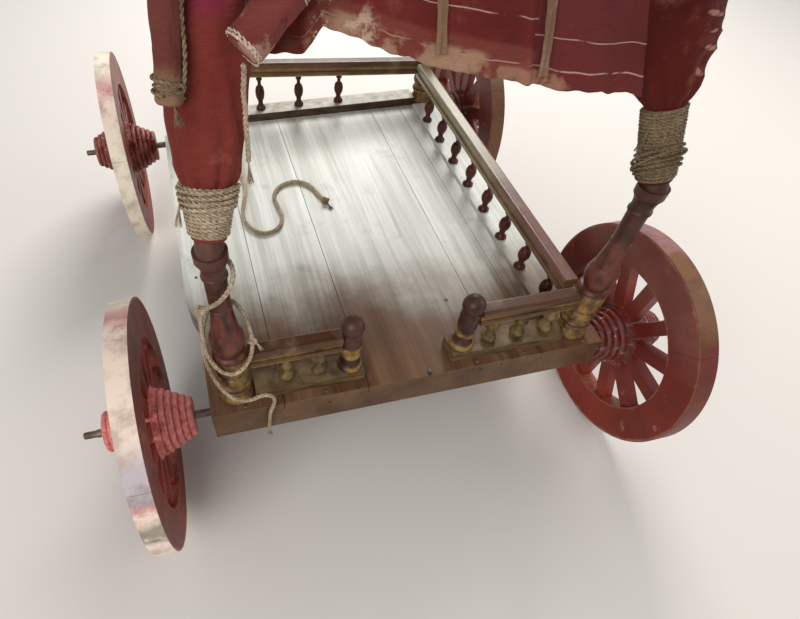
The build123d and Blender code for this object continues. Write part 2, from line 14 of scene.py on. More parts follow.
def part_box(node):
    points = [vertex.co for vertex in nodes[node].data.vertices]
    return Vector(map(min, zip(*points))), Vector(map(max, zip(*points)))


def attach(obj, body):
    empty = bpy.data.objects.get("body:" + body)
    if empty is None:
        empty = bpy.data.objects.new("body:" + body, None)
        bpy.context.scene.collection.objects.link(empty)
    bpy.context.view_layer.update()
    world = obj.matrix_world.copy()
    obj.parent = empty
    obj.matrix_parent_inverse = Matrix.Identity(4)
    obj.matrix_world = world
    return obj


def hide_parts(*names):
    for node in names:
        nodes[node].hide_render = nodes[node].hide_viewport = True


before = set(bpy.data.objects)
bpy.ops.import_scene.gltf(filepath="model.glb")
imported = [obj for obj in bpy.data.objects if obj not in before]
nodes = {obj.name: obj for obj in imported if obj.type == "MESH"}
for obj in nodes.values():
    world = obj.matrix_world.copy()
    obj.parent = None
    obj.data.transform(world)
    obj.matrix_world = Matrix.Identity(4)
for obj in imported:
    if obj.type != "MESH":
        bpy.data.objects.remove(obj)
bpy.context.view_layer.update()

# %% [markdown]
# ## The camera
# The picture was taken standing, from close in front of the cart and a little to its left, looking
# down onto the deck. The height, turn and lens come from the places of the wheels in it. The frame
# was cropped off centre, which is what a lens shift says without bending the view.

# %% Camera
camera_place = (-0.3016, -0.9243, 1.0442)
camera_turn = (36.008, -1.827, -14.163)
lens_mm = 24.73
shift_across = 0.0854
shift_up = 0.0622

camera_data = bpy.data.cameras.new("camera")
camera_data.lens = lens_mm
camera_data.sensor_width = 36.0
camera_data.sensor_fit = "HORIZONTAL"
camera_data.shift_x = shift_across
camera_data.shift_y = shift_up
camera_data.clip_start = 0.01
camera = bpy.data.objects.new("camera", camera_data)
camera.location = camera_place
camera.rotation_euler = [radians(angle) for angle in camera_turn]
bpy.context.scene.collection.objects.link(camera)
bpy.context.scene.camera = camera
print("camera at", camera_place, "lens", lens_mm, "mm")

# %% [markdown]
# ## Helpers
# An operator acts on all that is selected, so one helper clears the selection and picks one piece.
# Another makes a mesh object from points and faces, for the cloth and the rope, whose forms are
# easier to say as a formula than to push by hand. The last one hands a finished piece over: it gets
# its material and the body that it moves with, and the plain solid that it stands for is hidden.


# %% Pick, join and build pieces
def only(piece):
    bpy.ops.object.select_all(action="DESELECT")
    piece.select_set(True)
    bpy.context.view_layer.objects.active = piece


def joined(name, pieces):
    only(pieces[0])
    for piece in pieces:
        piece.select_set(True)
    bpy.ops.object.join()
    pieces[0].name = name
    return pieces[0]


def mesh_piece(name, points, faces, uvs=None):
    mesh = bpy.data.meshes.new(name)
    mesh.from_pydata([tuple(point) for point in points], [], faces)
    piece = bpy.data.objects.new(name, mesh)
    bpy.context.scene.collection.objects.link(piece)
    if uvs:
        layer = mesh.uv_layers.new(name="cut")
        for loop in mesh.loops:
            layer.data[loop.index].uv = uvs[loop.vertex_index]
    only(piece)
    bpy.ops.object.shade_smooth()
    return piece


def grid(name, across, along, place, closed=False):
    """A sheet from a formula: place(u, v) gives a point, u across and v along, each from 0 to 1."""
    points = []
    uvs = []
    columns = across if closed else across + 1
    for row in range(along + 1):
        for column in range(columns):
            u = column / across
            v = row / along
            points.append(place(u, v))
            uvs.append((u, v))
    faces = []
    for row in range(along):
        for column in range(across):
            a = row * columns + column
            b = row * columns + (column + 1) % columns
            faces.append((a, b, b + columns, a + columns))
    return mesh_piece(name, points, faces, uvs)


def thicken(piece, thickness, offset=0.0):
    only(piece)
    solid = piece.modifiers.new("thickness", "SOLIDIFY")
    solid.thickness = thickness
    solid.offset = offset
    bpy.ops.object.modifier_apply(modifier=solid.name)


# %% Finish and measure pieces
def dress(piece, material):
    piece.data.materials.clear()
    piece.data.materials.append(material)


def hand_over(piece, material, stands_for=None):
    """The last step for a new piece that belongs to the cart's body."""
    dress(piece, material)
    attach(piece, "cart")
    if stands_for:
        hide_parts(stands_for)


def area_of(piece):
    return sum(face.area for face in piece.data.polygons)


def length_of(line):
    return sum((b - a).length for a, b in zip(line, line[1:]))


def rough(point, scale, seed=0.0):
    """Smooth noise from -1 to 1 at a point, with features about 1 / scale across."""
    return noise.noise(Vector(point) * scale + Vector((seed, 2.7 * seed, -1.3 * seed)))


# %% [markdown]
# ## A palette of finishes
# Each finish is a small tree of nodes: a few stretched noises give grain, stains and bare patches,
# ramps turn them into colours, and the same noises move the bump and the roughness, so that what
# looks worn also feels worn.


# %% Finish builder
class Finish:
    def __init__(self, name, roughness=0.6, metallic=0.0, sheen=0.0, specular=0.3):
        self.material = bpy.data.materials.new(name)
        self.material.use_nodes = True
        self.tree = self.material.node_tree
        self.shader = self.tree.nodes["Principled BSDF"]
        self.shader.inputs["Roughness"].default_value = roughness
        self.shader.inputs["Metallic"].default_value = metallic
        self.shader.inputs["Sheen Weight"].default_value = sheen
        self.shader.inputs["Specular IOR Level"].default_value = specular
        self.coordinates = self.tree.nodes.new("ShaderNodeTexCoord")
        self.place = self.coordinates.outputs["Object"]
        self.cut = self.coordinates.outputs["UV"]

    def join(self, source, target):
        if isinstance(source, bpy.types.NodeSocket):
            self.tree.links.new(source, target)
        else:
            target.default_value = source

    def mapped(self, stretch=(1, 1, 1), shift=(0, 0, 0)):
        node = self.tree.nodes.new("ShaderNodeMapping")
        self.join(self.place, node.inputs["Vector"])
        node.inputs["Scale"].default_value = stretch
        node.inputs["Location"].default_value = shift
        return node.outputs["Vector"]

    def noise(self, scale, detail=4.0, stretch=(1, 1, 1), roughness=0.55, distort=0.0):
        node = self.tree.nodes.new("ShaderNodeTexNoise")
        self.join(self.mapped(stretch), node.inputs["Vector"])
        node.inputs["Scale"].default_value = scale
        node.inputs["Detail"].default_value = detail
        node.inputs["Roughness"].default_value = roughness
        node.inputs["Distortion"].default_value = distort
        return node.outputs["Fac"]

    def math(self, kind, a, b=0.0, c=0.0):
        node = self.tree.nodes.new("ShaderNodeMath")
        node.operation = kind
        for value, socket in zip((a, b, c), node.inputs):
            self.join(value, socket)
        return node.outputs["Value"]

    def times(self, a, b):
        return self.math("MULTIPLY", a, b)

    def plus(self, a, b):
        return self.math("ADD", a, b)

    def minus(self, a, b):
        return self.math("SUBTRACT", a, b)

    def larger(self, a, b):
        return self.math("MAXIMUM", a, b)

    def step(self, value, low, high, flip=False):
        """0 below low, 1 above high and a smooth rise between them, or the other way round."""
        node = self.tree.nodes.new("ShaderNodeMapRange")
        node.interpolation_type = "SMOOTHSTEP"
        self.join(value, node.inputs["Value"])
        self.join(low, node.inputs["From Min"])
        self.join(high, node.inputs["From Max"])
        node.inputs["To Min"].default_value = 1.0 if flip else 0.0
        node.inputs["To Max"].default_value = 0.0 if flip else 1.0
        return node.outputs["Result"]

    def band(self, value, low, high, soft):
        """1 between two values and 0 outside them."""
        rise = self.step(value, low - soft, low)
        fall = self.step(value, high, high + soft, flip=True)
        return self.times(rise, fall)

    def spot(self, place, radius, soft=0.25):
        """1 within a radius of a place on the object."""
        node = self.tree.nodes.new("ShaderNodeVectorMath")
        node.operation = "DISTANCE"
        self.join(self.place, node.inputs[0])
        node.inputs[1].default_value = place
        return self.step(node.outputs["Value"], radius * (1 - soft), radius * (1 + soft), flip=True)

    def ramp(self, value, stops):
        node = self.tree.nodes.new("ShaderNodeValToRGB")
        self.join(value, node.inputs["Fac"])
        elements = node.color_ramp.elements
        while len(elements) < len(stops):
            elements.new(0.5)
        for element, (place, colour) in zip(elements, stops):
            element.position = place
            element.color = (*colour, 1.0)
        return node.outputs["Color"]

    def mix(self, share, a, b, kind="MIX"):
        node = self.tree.nodes.new("ShaderNodeMix")
        node.data_type = "RGBA"
        node.blend_type = kind
        self.join(share, node.inputs["Factor"])
        sockets = [socket for socket in node.inputs if socket.type == "RGBA"]
        for value, socket in zip((a, b), sockets):
            if isinstance(value, bpy.types.NodeSocket):
                self.tree.links.new(value, socket)
            else:
                socket.default_value = (*value, 1.0)
        return [socket for socket in node.outputs if socket.type == "RGBA"][0]

    def axes(self, source=None):
        node = self.tree.nodes.new("ShaderNodeSeparateXYZ")
        self.join(source or self.place, node.inputs["Vector"])
        return node.outputs["X"], node.outputs["Y"], node.outputs["Z"]

    def marked(self, name):
        """A value that was laid on the mesh point by point."""
        node = self.tree.nodes.new("ShaderNodeAttribute")
        node.attribute_name = name
        return node.outputs["Fac"]

    def colour(self, socket):
        self.join(socket, self.shader.inputs["Base Color"])

    def roughness(self, value, low, high):
        node = self.tree.nodes.new("ShaderNodeMapRange")
        self.join(value, node.inputs["Value"])
        node.inputs["To Min"].default_value = low
        node.inputs["To Max"].default_value = high
        self.join(node.outputs["Result"], self.shader.inputs["Roughness"])

    def bump(self, height, strength=0.3, distance=0.001):
        node = self.tree.nodes.new("ShaderNodeBump")
        node.inputs["Strength"].default_value = strength
        node.inputs["Distance"].default_value = distance
        self.join(height, node.inputs["Height"])
        self.join(node.outputs["Normal"], self.shader.inputs["Normal"])


# %% [markdown]
# ## Deck boards
# The boards are bare wood, silvery towards the rear and brown at the front. The rear's pale silver is
# partly a painted highlight of glare, and the front's brown and the darker board edges are partly
# painted shade. A picture of wood could be wrapped round them, but a pattern in the object's own
# space needs no unwrapping, and the change from brown to silver can then follow the cart's length.

# %% Weathered deck boards
# Knot holes and rust marks on the deck's top, front edge and left edge: place, radius
knot_holes = (
    ((0.111, -0.292, 0.263), 0.0045),
    ((-0.158, -0.450, 0.239), 0.0040),
    ((0.020, -0.447, 0.263), 0.0045),
    ((0.118, -0.450, 0.249), 0.0040),
    ((-0.214, -0.385, 0.263), 0.0060),
    ((-0.373, 0.110, 0.250), 0.0050),
    ((-0.373, 0.135, 0.247), 0.0040),
    ((0.300, 0.250, 0.263), 0.0035),
)
board_face_below = 0.2605
board_top = 0.2622


def deck_wood():
    finish = Finish("weathered_boards")
    across, y, z = finish.axes()
    grain = finish.noise(1.0, 6.0, (150, 4, 60), 0.62, 0.5)
    streaks = finish.noise(1.0, 3.0, (34, 1.2, 20), 0.5)
    stains = finish.noise(4.0, 5.0, roughness=0.6)
    grime = finish.noise(13.0, 5.0, roughness=0.68)
    fibre = finish.ramp(grain, ((0.28, (0.32, 0.30, 0.24)), (0.46, (0.55, 0.56, 0.50)),
                                (0.70, (0.70, 0.73, 0.67))))
    silver = finish.ramp(streaks, ((0.34, (0.33, 0.32, 0.27)), (0.58, (0.76, 0.79, 0.74))))
    # Weathered silver, made paler in part as a painted highlight of glare on the rear boards
    pale = finish.mix(0.45, fibre, silver)
    # The front's brown is partly the wood's own colour and partly painted shade
    brown = finish.ramp(grain, ((0.30, (0.052, 0.024, 0.011)), (0.70, (0.20, 0.100, 0.048))))
    ruddy = finish.ramp(streaks, ((0.35, (0.09, 0.036, 0.016)), (0.65, (0.26, 0.145, 0.078))))
    brown = finish.mix(0.45, brown, ruddy)
    reach = finish.plus(y, finish.times(stains, 0.34))
    frontness = finish.step(reach, -0.16, 0.05, flip=True)
    top = finish.mix(frontness, pale, brown)
    # The board edges below the top are darker, partly grime and partly painted shade on faces turned from
    # the light
    edge_wood_and_shade = finish.ramp(grime, ((0.34, (0.046, 0.021, 0.007)), (0.60, (0.14, 0.070, 0.027)),
                                    (0.78, (0.26, 0.165, 0.080))))
    below = finish.step(z, board_face_below, board_top, flip=True)
    wood = finish.mix(finish.times(below, 0.85), top, edge_wood_and_shade)
    marks = None
    for place, radius in knot_holes:
        spot = finish.spot(place, radius)
        marks = spot if marks is None else finish.larger(marks, spot)
    wood = finish.mix(finish.times(marks, 0.85), wood, (0.012, 0.008, 0.006))
    dirt = finish.step(grime, 0.56, 0.74)
    wood = finish.mix(finish.times(dirt, 0.30), wood, (0.075, 0.042, 0.026))
    finish.colour(wood)
    finish.roughness(stains, 0.26, 0.50)
    finish.bump(grain, 0.35, 0.0010)
    return finish.material


# %% [markdown]
# ## Painted, varnished and gilded wood
# The gallery was once varnished dark and gilded, and both have worn. Wear could be painted on by hand
# in Blender, but here the gilding follows heights: along a rail's groove, round a post's rings. So
# bands of height say where gold lies, and one blotchy noise says where it has gone.


# %% Plain wood and varnished rails
def plain_wood(name, dark, light, grain_along=(60, 4, 60), roughness=(0.45, 0.7)):
    finish = Finish(name)
    grain = finish.noise(1.0, 6.0, grain_along, 0.6, 0.3)
    stains = finish.noise(9.0, 4.0)
    base = finish.ramp(grain, ((0.32, dark), (0.68, light)))
    dirt = finish.ramp(stains, ((0.35, (0.55, 0.5, 0.45)), (0.62, (1.0, 1.0, 1.0))))
    finish.colour(finish.mix(0.8, base, dirt, "MULTIPLY"))
    finish.roughness(stains, *roughness)
    finish.bump(grain, 0.3, 0.0008)
    return finish.material


rail_bottom = 0.338
rear_rail_rise = 0.0717
rear_rail_low_end = 0.281


def rail_varnish(name, grain_along, dark, light, slope=0.0, painted_glare_end=None):
    """Old varnish with gilding left in the side grooves and along the lower edge. A rear end colour,
    if given, pales the rear as a painted highlight where the glossy rail catches glare.
    """
    finish = Finish(name, specular=0.4)
    x, y, z = finish.axes()
    level = finish.plus(z, finish.times(finish.minus(x, rear_rail_low_end), slope))
    grain = finish.noise(1.0, 6.0, grain_along, 0.62, 0.5)
    stains = finish.noise(16.0, 5.0, roughness=0.65)
    wood = finish.ramp(grain, ((0.30, dark), (0.70, light)))
    worn = finish.step(stains, 0.52, 0.70)
    wood = finish.mix(finish.times(worn, 0.45), wood, (0.28, 0.20, 0.12))
    # Painted highlight: the rear end is paled where the glossy rail catches glare
    if painted_glare_end:
        rearness = finish.step(finish.plus(y, finish.times(stains, 0.30)), -0.05, 0.30)
        wood = finish.mix(finish.times(rearness, 0.65), wood, painted_glare_end)
    gold = finish.ramp(stains, ((0.35, (0.085, 0.042, 0.014)), (0.60, (0.36, 0.24, 0.07))))
    lower = finish.step(level, rail_bottom + 0.004, rail_bottom + 0.0055, flip=True)
    groove = finish.band(level, rail_bottom + 0.0125, rail_bottom + 0.0215, 0.0008)
    gilt = finish.larger(lower, finish.times(groove, 0.65))
    finish.colour(finish.mix(gilt, wood, gold))
    finish.roughness(stains, 0.18, 0.42)
    finish.bump(finish.plus(grain, stains), 0.22, 0.0008)
    return finish.material


base_rail_top = 0.283


def base_varnish(name, top_dark, top_light, face_dark, face_light):
    """A low rail whose top is pale, partly worn and partly painted light from above, and whose faces keep
    their dark, olive paint, darkened further by painted shade.
    """
    finish = Finish(name)
    x, y, z = finish.axes()
    blotches = finish.noise(38.0, 5.0, roughness=0.65)
    streaks = finish.noise(1.0, 5.0, (24, 24, 160), 0.6)
    top = finish.ramp(blotches, ((0.32, top_dark), (0.62, top_light)))
    face = finish.ramp(streaks, ((0.34, face_dark), (0.66, face_light)))
    # The pale top is partly wear and partly painted light from above; the dark faces are partly paint and
    # partly painted shade
    up = finish.step(z, base_rail_top - 0.0016, base_rail_top - 0.0004)
    finish.colour(finish.mix(up, face, top))
    finish.roughness(blotches, 0.30, 0.60)
    finish.bump(blotches, 0.3, 0.0008)
    return finish.material


# %% [markdown]
# ## Wheel paint
# The wheels are red, umber above and vermilion below, and each has worn in its own way: the tread
# is bare or pink in runs round the rim, and the hub is rubbed. A colour ramp commonly follows a
# straight axis. Here it follows the angle round the hub, so each run of the tread has its colour.

# %% Wheel paint
rim_inside = 0.149
rim_outside = 0.2142
hub_reach = 0.062


def wheel_paint(name, centre, tread=None, hub_tone=None):
    """Paint that is umber above, crimson across the middle and vermilion below. tread is a run of
    (degrees round the wheel, colour), counted from the cart's rear over the top."""
    finish = Finish(name)
    local = finish.mapped(shift=(-centre[0], -centre[1], -centre[2]))
    x, y, z = finish.axes(local)
    reach = finish.math("SQRT", finish.plus(finish.times(y, y), finish.times(z, z)))
    patches = finish.noise(24.0, 7.0, roughness=0.68)
    fine = finish.noise(130.0, 5.0, roughness=0.6)
    cloudy = finish.noise(7.0, 4.0)
    umber = finish.ramp(cloudy, ((0.30, (0.125, 0.038, 0.030)), (0.70, (0.255, 0.090, 0.068))))
    crimson = finish.ramp(cloudy, ((0.30, (0.120, 0.013, 0.009)), (0.70, (0.215, 0.026, 0.014))))
    vermilion = finish.ramp(cloudy, ((0.30, (0.155, 0.014, 0.005)), (0.70, (0.290, 0.032, 0.011))))
    height = finish.math("MULTIPLY_ADD", patches, 0.10, finish.minus(z, 0.05))
    paint = finish.mix(finish.step(height, 0.06, 0.15), crimson, umber)
    paint = finish.mix(finish.step(height, -0.17, -0.05, flip=True), paint, vermilion)
    faded = finish.ramp(fine, ((0.35, (0.26, 0.080, 0.055)), (0.70, (0.46, 0.21, 0.155))))
    chipped = finish.step(patches, 0.60, 0.69)
    face = finish.mix(finish.times(chipped, 0.65), paint, faded)
    if hub_tone:
        worn = finish.ramp(fine, ((0.30, hub_tone[0]), (0.70, hub_tone[1])))
        rubbed = finish.step(patches, hub_tone[2], hub_tone[2] + 0.14)
        barrel = finish.step(reach, hub_reach, hub_reach + 0.004, flip=True)
        face = finish.mix(finish.times(barrel, finish.times(rubbed, 0.90)), face, worn)
        bare = finish.times(barrel, finish.step(finish.noise(1.0, 4.0, (20, 160, 160)), 0.60, 0.66))
        face = finish.mix(finish.times(bare, 0.60), face, (0.54, 0.41, 0.29))
    else:
        wave = finish.times(finish.minus(patches, 0.5), 0.016)
        wavy = finish.plus(reach, wave)
        rim_edge = finish.step(wavy, rim_outside - 0.0057, rim_outside - 0.0007)
        inner_edge = finish.step(wavy, rim_inside - 0.0015, rim_inside + 0.0015, flip=True)
        edges = finish.larger(finish.times(rim_edge, 0.8), finish.times(inner_edge, 0.5))
        face = finish.mix(edges, face, faded)
        turn = finish.math("MULTIPLY_ADD", finish.math("ARCTAN2", z, y), 1 / tau, 0.5)
        turn = finish.math("MULTIPLY_ADD", finish.minus(patches, 0.5), 0.08, turn)
        painted = finish.ramp(turn, [((degrees + 180) / 360, colour) for degrees, colour in tread])
        mottle = finish.ramp(patches, ((0.36, (0.55, 0.50, 0.48)), (0.54, (1.0, 1.0, 1.0))))
        painted = finish.mix(0.8, painted, mottle, "MULTIPLY")
        round_edge = finish.plus(reach, finish.times(finish.minus(fine, 0.5), 0.002))
        face = finish.mix(finish.step(round_edge, rim_outside - 0.0004, rim_outside + 0.0004), face, painted)
    finish.colour(face)
    finish.roughness(patches, 0.32, 0.62)
    finish.bump(finish.plus(patches, finish.times(fine, 0.35)), 0.30, 0.0009)
    return finish.material


# %% Gilded turned wood, and iron
def gilded_wood(name, bands, gold_stops, column=None):
    """Dark turned wood with gilding left on the bands of height (low, high)."""
    finish = Finish(name)
    x, y, z = finish.axes()
    stain = finish.noise(16.0, 5.0, roughness=0.62)
    fine = finish.noise(80.0, 5.0, (1, 1, 0.4))
    wood = finish.ramp(stain, ((0.3, (0.022, 0.009, 0.007)), (0.7, (0.105, 0.040, 0.026))))
    if column:
        low, high, tone = column
        ruddy = finish.times(finish.band(z, low, high, 0.02), finish.step(fine, 0.36, 0.60))
        wood = finish.mix(finish.times(ruddy, 0.7), wood, tone)
    gold = finish.ramp(fine, gold_stops)
    cover = None
    for low, high in bands:
        band = finish.band(z, low, high, 0.002)
        cover = band if cover is None else finish.larger(cover, band)
    worn = finish.step(stain, 0.36, 0.50)
    finish.colour(finish.mix(finish.times(cover, worn), wood, gold))
    finish.roughness(stain, 0.24, 0.55)
    finish.bump(fine, 0.25, 0.0006)
    return finish.material


def iron():
    finish = Finish("iron_rod", metallic=0.85)
    patches = finish.noise(40.0, 5.0)
    finish.colour(finish.ramp(patches, ((0.4, (0.20, 0.19, 0.18)), (0.65, (0.16, 0.09, 0.06)))))
    finish.roughness(patches, 0.4, 0.75)
    finish.bump(patches, 0.2, 0.0005)
    return finish.material


# %% [markdown]
# ## Cotton cloth
# All the cloth is one kind, plain red cotton, in pieces that have faded differently. Some of its
# tones are painted light: the right sleeve is darker partly as painted shade, the valance's left end is
# darkened as painted shade, and the puckers' crests are paled as a painted highlight. The weave is two
# fine noises that cross, which is enough at this distance and far lighter than modelled threads.
# Seams and stains are laid on by the cloth's own map, so they stay with it where it folds.

# %% Woven cloth
threads_per_metre = 900.0


class Cloth(Finish):
    """Plain woven cotton. Seams and stains are laid on by the cloth's own map, u across and v down."""

    def __init__(self, name, dark, light, faded, worn=0.5):
        super().__init__(name, roughness=0.88, sheen=0.03, specular=0.12)
        cloudy = self.noise(6.0, 4.0)
        self.threads = self.noise(1.0, 2.0, (threads_per_metre, threads_per_metre, 60))
        self.cross = self.noise(1.0, 2.0, (60, 60, threads_per_metre))
        self.patches = self.noise(17.0, 6.0, roughness=0.68)
        base = self.ramp(cloudy, ((0.32, dark), (0.68, light)))
        self.base = self.mix(self.times(self.step(self.patches, 0.55, 0.70), worn), base, faded)
        self.u, self.v, flat = self.axes(self.cut)
        self.relief = self.plus(self.threads, self.cross)

    # Lays a colour where a mask is: real stains, seams and fading, and in a few places painted shade and a
    # painted highlight
    def stain(self, mask, colour, share=0.8):
        self.base = self.mix(self.times(mask, share), self.base, colour)

    def seam(self, value, place, half_width, colour, share=0.8):
        """A stitched line where a value crosses a place, a little wavy and rubbed away in spots."""
        wave = self.times(self.minus(self.noise(9.0, 3.0), 0.5), 6 * half_width)
        off = self.math("ABSOLUTE", self.minus(self.plus(value, wave), place))
        line = self.step(off, 0.4 * half_width, half_width, flip=True)
        line = self.times(line, self.step(self.noise(28.0, 4.0), 0.36, 0.50))
        self.stain(line, colour, share)
        self.relief = self.plus(self.relief, self.times(line, 1.5))

    def done(self):
        weave_height = self.times(self.plus(self.threads, self.cross), 0.5)
        shade = self.ramp(weave_height, ((0.35, (0.70, 0.70, 0.70)), (0.65, (1.0, 1.0, 1.0))))
        self.colour(self.mix(0.8, self.base, shade, "MULTIPLY"))
        self.bump(self.relief, 0.35, 0.0006)
        return self.material


# %% The front valance's finish
def valance_finish():
    """Two breadths of cloth, each with stitched lines of its own, over a worn and ragged hem."""
    cloth = Cloth("valance_cloth", (0.105, 0.014, 0.013), (0.205, 0.032, 0.026), (0.27, 0.085, 0.060))
    thread = (0.55, 0.36, 0.27)
    left_part = cloth.step(cloth.u, 0.66, 0.67, flip=True)
    right_part = cloth.step(cloth.u, 0.68, 0.69)
    off_right = cloth.plus(cloth.v, cloth.times(right_part, 0.9))
    off_left = cloth.plus(cloth.v, cloth.times(left_part, 0.9))
    cloth.stain(right_part, (0.125, 0.030, 0.032), 0.55)
    cloth.seam(cloth.v, 0.925, 0.0045, thread)
    cloth.seam(off_right, 0.745, 0.0040, thread)
    cloth.seam(off_left, 0.805, 0.0035, thread, 0.7)
    cloth.seam(off_right, 0.62, 0.0030, thread, 0.5)
    strip = cloth.times(cloth.step(cloth.v, 0.84, 0.87), left_part)
    cloth.stain(strip, (0.28, 0.090, 0.065), 0.35)
    hem = cloth.step(cloth.v, 0.93, 0.95)
    cloth.stain(cloth.times(hem, cloth.step(cloth.patches, 0.50, 0.60)), (0.38, 0.20, 0.13), 0.75)
    faded_run = cloth.times(cloth.step(cloth.v, 0.89, 0.92), cloth.band(cloth.u, 0.19, 0.52, 0.04))
    cloth.stain(cloth.times(faded_run, cloth.step(cloth.patches, 0.42, 0.53)), (0.40, 0.24, 0.155), 0.85)
    blotches = cloth.step(cloth.noise(40.0, 5.0, roughness=0.65), 0.50, 0.57)
    left_end = cloth.times(cloth.step(cloth.v, 0.80, 0.92), cloth.band(cloth.u, 0.13, 0.25, 0.03))
    cloth.stain(cloth.times(left_end, blotches), (0.56, 0.41, 0.30), 0.8)
    # Painted shade: the valance's left end, behind the brace, is darkened
    cloth.stain(cloth.step(cloth.u, 0.085, 0.115, flip=True), (0.085, 0.008, 0.005), 0.85)
    return cloth.done()


# %% The other cloths' finishes, and jute
def sleeve_finish(name, dark, light, faded, puckered=False, dyed=None):
    """A puckered sleeve is paler on its crests, a painted highlight. dyed is (place, radius, colour) of a
    patch.
    """
    cloth = Cloth(name, dark, light, faded)
    if puckered:
        # Painted highlight: the crests of the puckers are paled where light catches them
        crest_highlight = cloth.math("MULTIPLY_ADD", cloth.noise(60.0, 4.0), 0.5, cloth.marked("crest"))
        cloth.stain(cloth.step(crest_highlight, 0.78, 1.02), (0.44, 0.22, 0.16), 0.85)
    if dyed:
        place, radius, colour = dyed
        cloth.stain(cloth.spot(place, radius, 0.5), colour, 0.6)
    return cloth.done()


def curtain_finish():
    """The rolled curtain's lower end, low on the cloth's own map, is worn to the thread's tan."""
    cloth = Cloth("curtain_cloth", (0.110, 0.026, 0.024), (0.190, 0.055, 0.042), (0.38, 0.20, 0.14))
    end = cloth.step(cloth.math("MULTIPLY_ADD", cloth.patches, 0.14, cloth.v), 0.16, 0.27, flip=True)
    cloth.stain(end, (0.27, 0.165, 0.095), 0.85)
    specks = cloth.step(cloth.noise(90.0, 4.0), 0.52, 0.60)
    cloth.stain(cloth.times(end, specks), (0.10, 0.05, 0.03), 0.7)
    return cloth.done()


def brace_finish():
    cloth = Cloth("brace_cloth", (0.13, 0.026, 0.022), (0.23, 0.055, 0.045), (0.42, 0.22, 0.155), worn=0.7)
    cloth.stain(cloth.step(cloth.patches, 0.51, 0.58), (0.46, 0.27, 0.195), 0.70)
    cloth.stain(cloth.step(cloth.noise(60.0, 3.0), 0.62, 0.70), (0.11, 0.022, 0.022), 0.7)
    return cloth.done()


def jute_finish(name, dark, light, dirt):
    finish = Finish(name, roughness=0.92, sheen=0.08)
    fibres = finish.noise(280.0, 5.0)
    dirty = finish.noise(20.0, 4.0)
    base = finish.ramp(fibres, ((0.30, dark), (0.70, light)))
    shade = finish.ramp(dirty, ((0.35, dirt), (0.65, (1.0, 1.0, 1.0))))
    finish.colour(finish.mix(0.9, base, shade, "MULTIPLY"))
    finish.bump(fibres, 0.5, 0.0008)
    return finish.material


# %% Mix the woods' finishes
boards = deck_wood()
grain_along_x = (5, 90, 60)
grain_along_y = (90, 5, 60)
# The right rail's pale rear end is a painted highlight of glare
right_rail_wood = rail_varnish("right_rail_wood", grain_along_y, (0.085, 0.036, 0.030),
                               (0.23, 0.115, 0.085), painted_glare_end=(0.46, 0.42, 0.27))
rear_rail_wood = rail_varnish("rear_rail_wood", grain_along_x, (0.050, 0.020, 0.009),
                              (0.155, 0.074, 0.034), slope=rear_rail_rise)
front_rail_wood = rail_varnish("front_rail_wood", grain_along_x, (0.040, 0.016, 0.008),
                               (0.125, 0.055, 0.023))
# The rear base rail's pale top and dark faces are partly painted light and shade
rear_base_wood = base_varnish("rear_base_wood", (0.22, 0.19, 0.15), (0.52, 0.49, 0.41),
                              (0.030, 0.016, 0.010), (0.090, 0.052, 0.030))
front_base_wood = base_varnish("front_base_wood", (0.060, 0.034, 0.018), (0.20, 0.135, 0.062),
                               (0.050, 0.028, 0.014), (0.185, 0.125, 0.055))
baluster_paint = plain_wood("baluster_paint", (0.022, 0.006, 0.004), (0.130, 0.028, 0.016),
                            grain_along=(40, 40, 8), roughness=(0.22, 0.5))
olive_gilt = plain_wood("olive_gilt", (0.048, 0.027, 0.010), (0.25, 0.165, 0.060),
                        grain_along=(50, 50, 14), roughness=(0.3, 0.6))
frame_wood = plain_wood("frame_wood", (0.20, 0.12, 0.07), (0.42, 0.29, 0.18))
pole_wood = plain_wood("pole_wood", (0.030, 0.012, 0.008), (0.115, 0.050, 0.032),
                       grain_along=(60, 60, 4), roughness=(0.3, 0.6))
olive_gold = ((0.28, (0.060, 0.030, 0.010)), (0.55, (0.21, 0.118, 0.034)), (0.74, (0.38, 0.23, 0.06)))
bright_gold = ((0.28, (0.080, 0.040, 0.011)), (0.60, (0.29, 0.175, 0.042)))
leg_wood = gilded_wood("leg_wood", ((0.263, 0.296), (0.302, 0.372)), olive_gold,
                       column=(0.385, 0.475, (0.17, 0.045, 0.032)))
post_wood = gilded_wood("post_wood", ((0.283, 0.294), (0.316, 0.340)), bright_gold)
rod_iron = iron()
print("finishes of wood and iron", len(bpy.data.materials))

# %% Mix the cloths' and the ropes' finishes
valance_cloth = valance_finish()
left_sleeve_cloth = sleeve_finish(
    "left_sleeve_cloth", (0.130, 0.020, 0.016), (0.255, 0.046, 0.034), (0.34, 0.12, 0.09),
    dyed=((-0.272, -0.352, 0.865), 0.045, (0.24, 0.014, 0.070)))
